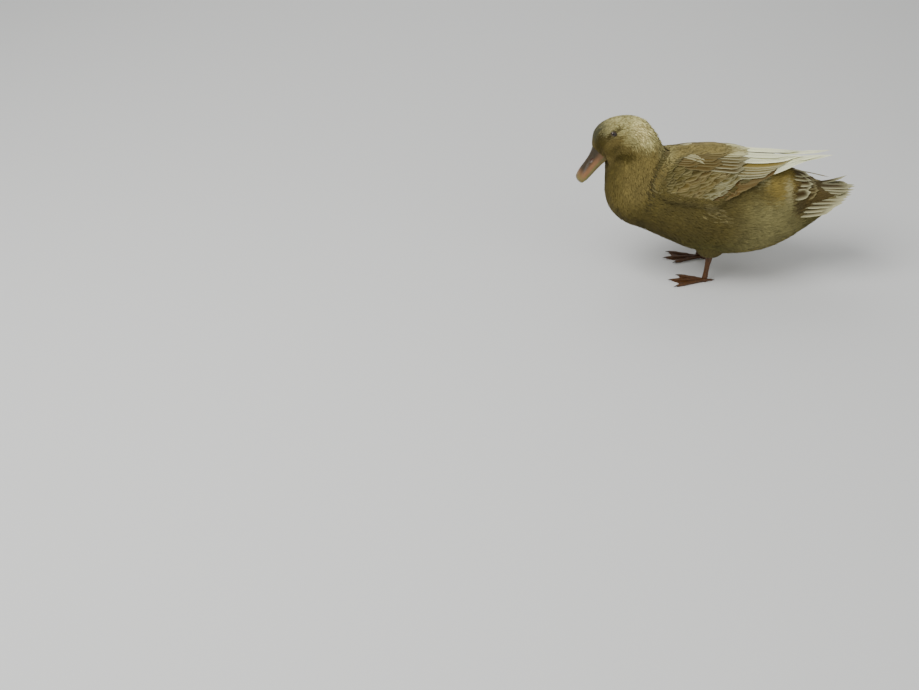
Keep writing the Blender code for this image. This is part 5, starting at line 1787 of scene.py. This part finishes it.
class DUCK_OT_coat(bpy.types.Operator):
    """Cover head, neck, body and thighs with small feathers"""

    bl_idname = "duck.coat"
    bl_label = "Coat"

    def execute(self, context):
        make_coat(plumage())
        chance = np.random.default_rng(sizes().seed + 80)
        tiers = [thigh_tier(sign, chance) for _, sign in SIDES]
        feather_object("coat_thighs", tiers, plumage(), sizes().seed + 6)
        return {"FINISHED"}


class DUCK_OT_wings(bpy.types.Operator):
    """Lay the feathers of the folded wings in their tiers"""

    bl_idname = "duck.wings"
    bl_label = "Wings"

    def execute(self, context):
        for side, sign in SIDES:
            make_wing(side, sign, plumage())
        return {"FINISHED"}


class DUCK_OT_tail(bpy.types.Operator):
    """Fan out the feathers of the tail and rump"""

    bl_idname = "duck.tail"
    bl_label = "Tail"

    def execute(self, context):
        make_tail(plumage())
        return {"FINISHED"}


class DUCK_OT_face(bpy.types.Operator):
    """Add bill, eyes and lids"""

    bl_idname = "duck.face"
    bl_label = "Bill and eyes"

    def execute(self, context):
        make_bill(grained_material("bill_horn", 0.42, 260.0, 0.0003, 0.5, 0.18))
        eye = grained_material("eye_gloss", 0.06, 900.0, 0.00001, 0.6, 0.2)
        make_eyes(eye, grained_material("lid_skin", 0.6, 1200.0, 0.0002))
        return {"FINISHED"}


class DUCK_OT_legs(bpy.types.Operator):
    """Finish legs, feet and claws"""

    bl_idname = "duck.legs"
    bl_label = "Legs and feet"

    def execute(self, context):
        dress_legs()
        return {"FINISHED"}


class DUCK_OT_stage(bpy.types.Operator):
    """Set the floor, the lights and the camera"""

    bl_idname = "duck.stage"
    bl_label = "Stage"

    def execute(self, context):
        setting = context.scene.duck_stage
        make_floor(setting)
        make_lights(setting)
        make_camera(setting)
        return {"FINISHED"}


def make_floor(setting):
    half = setting.floor_size / 2
    corners = [(-half, -half, 0), (half, -half, 0), (half, half, 0), (-half, half, 0)]
    material, shader = new_material("floor", 0.9, 0.1)
    shader.inputs["Base Color"].default_value = (*setting.floor_colour, 1.0)
    mesh_object("floor", corners, [(0, 1, 2, 3)], material)


def make_lights(setting):
    for name, power, place, size in LIGHTS:
        light = bpy.data.lights.new(name, "AREA")
        light.energy, light.size = getattr(setting, power), size
        item = add_object(name, light)
        item.location = place
        item.rotation_euler = (Vector(LIGHTS_AIM) - Vector(place)).to_track_quat("-Z", "Y").to_euler()
    world = bpy.data.worlds.new("studio")
    world.use_nodes = True
    background = world.node_tree.nodes["Background"]
    background.inputs["Color"].default_value = SKY_COLOUR
    background.inputs["Strength"].default_value = setting.sky
    bpy.context.scene.world = world


def make_camera(setting):
    data = bpy.data.cameras.new("camera")
    data.lens, data.sensor_width = setting.lens, 36.0
    camera = add_object("camera", data)
    camera.location = setting.camera_place
    camera.rotation_euler = (math.radians(90) - setting.camera_pitch, 0.0, math.radians(90))
    bpy.context.scene.camera = camera


class DUCK_PT_panel(bpy.types.Panel):
    """The duck's pieces and settings"""

    bl_label = "Duck"
    bl_idname = "DUCK_PT_panel"
    bl_space_type = "VIEW_3D"
    bl_region_type = "UI"
    bl_category = "Duck"

    def draw(self, context):
        layout = self.layout
        for operator in OPERATORS:
            layout.operator(operator.bl_idname)
        for group in (context.scene.duck_sizes, context.scene.duck_colours, context.scene.duck_stage):
            box = layout.box()
            for name in group.__annotations__:
                box.prop(group, name)


GROUPS = (("duck_colours", DuckColours), ("duck_sizes", DuckSizes), ("duck_stage", DuckStage))
OPERATORS = (
    DUCK_OT_skin,
    DUCK_OT_coat,
    DUCK_OT_wings,
    DUCK_OT_tail,
    DUCK_OT_face,
    DUCK_OT_legs,
    DUCK_OT_stage,
)


def register():
    for name, group in GROUPS:
        bpy.utils.register_class(group)
        setattr(bpy.types.Scene, name, PointerProperty(type=group))
    for item in OPERATORS + (DUCK_PT_panel,):
        bpy.utils.register_class(item)


def unregister():
    for item in reversed(OPERATORS + (DUCK_PT_panel,)):
        bpy.utils.unregister_class(item)
    for name, group in reversed(GROUPS):
        delattr(bpy.types.Scene, name)
        bpy.utils.unregister_class(group)


def main():
    register()
    for step in ("skin", "coat", "wings", "tail", "face", "legs", "stage"):
        getattr(bpy.ops.duck, step)()


if __name__ == "__main__":
    main()
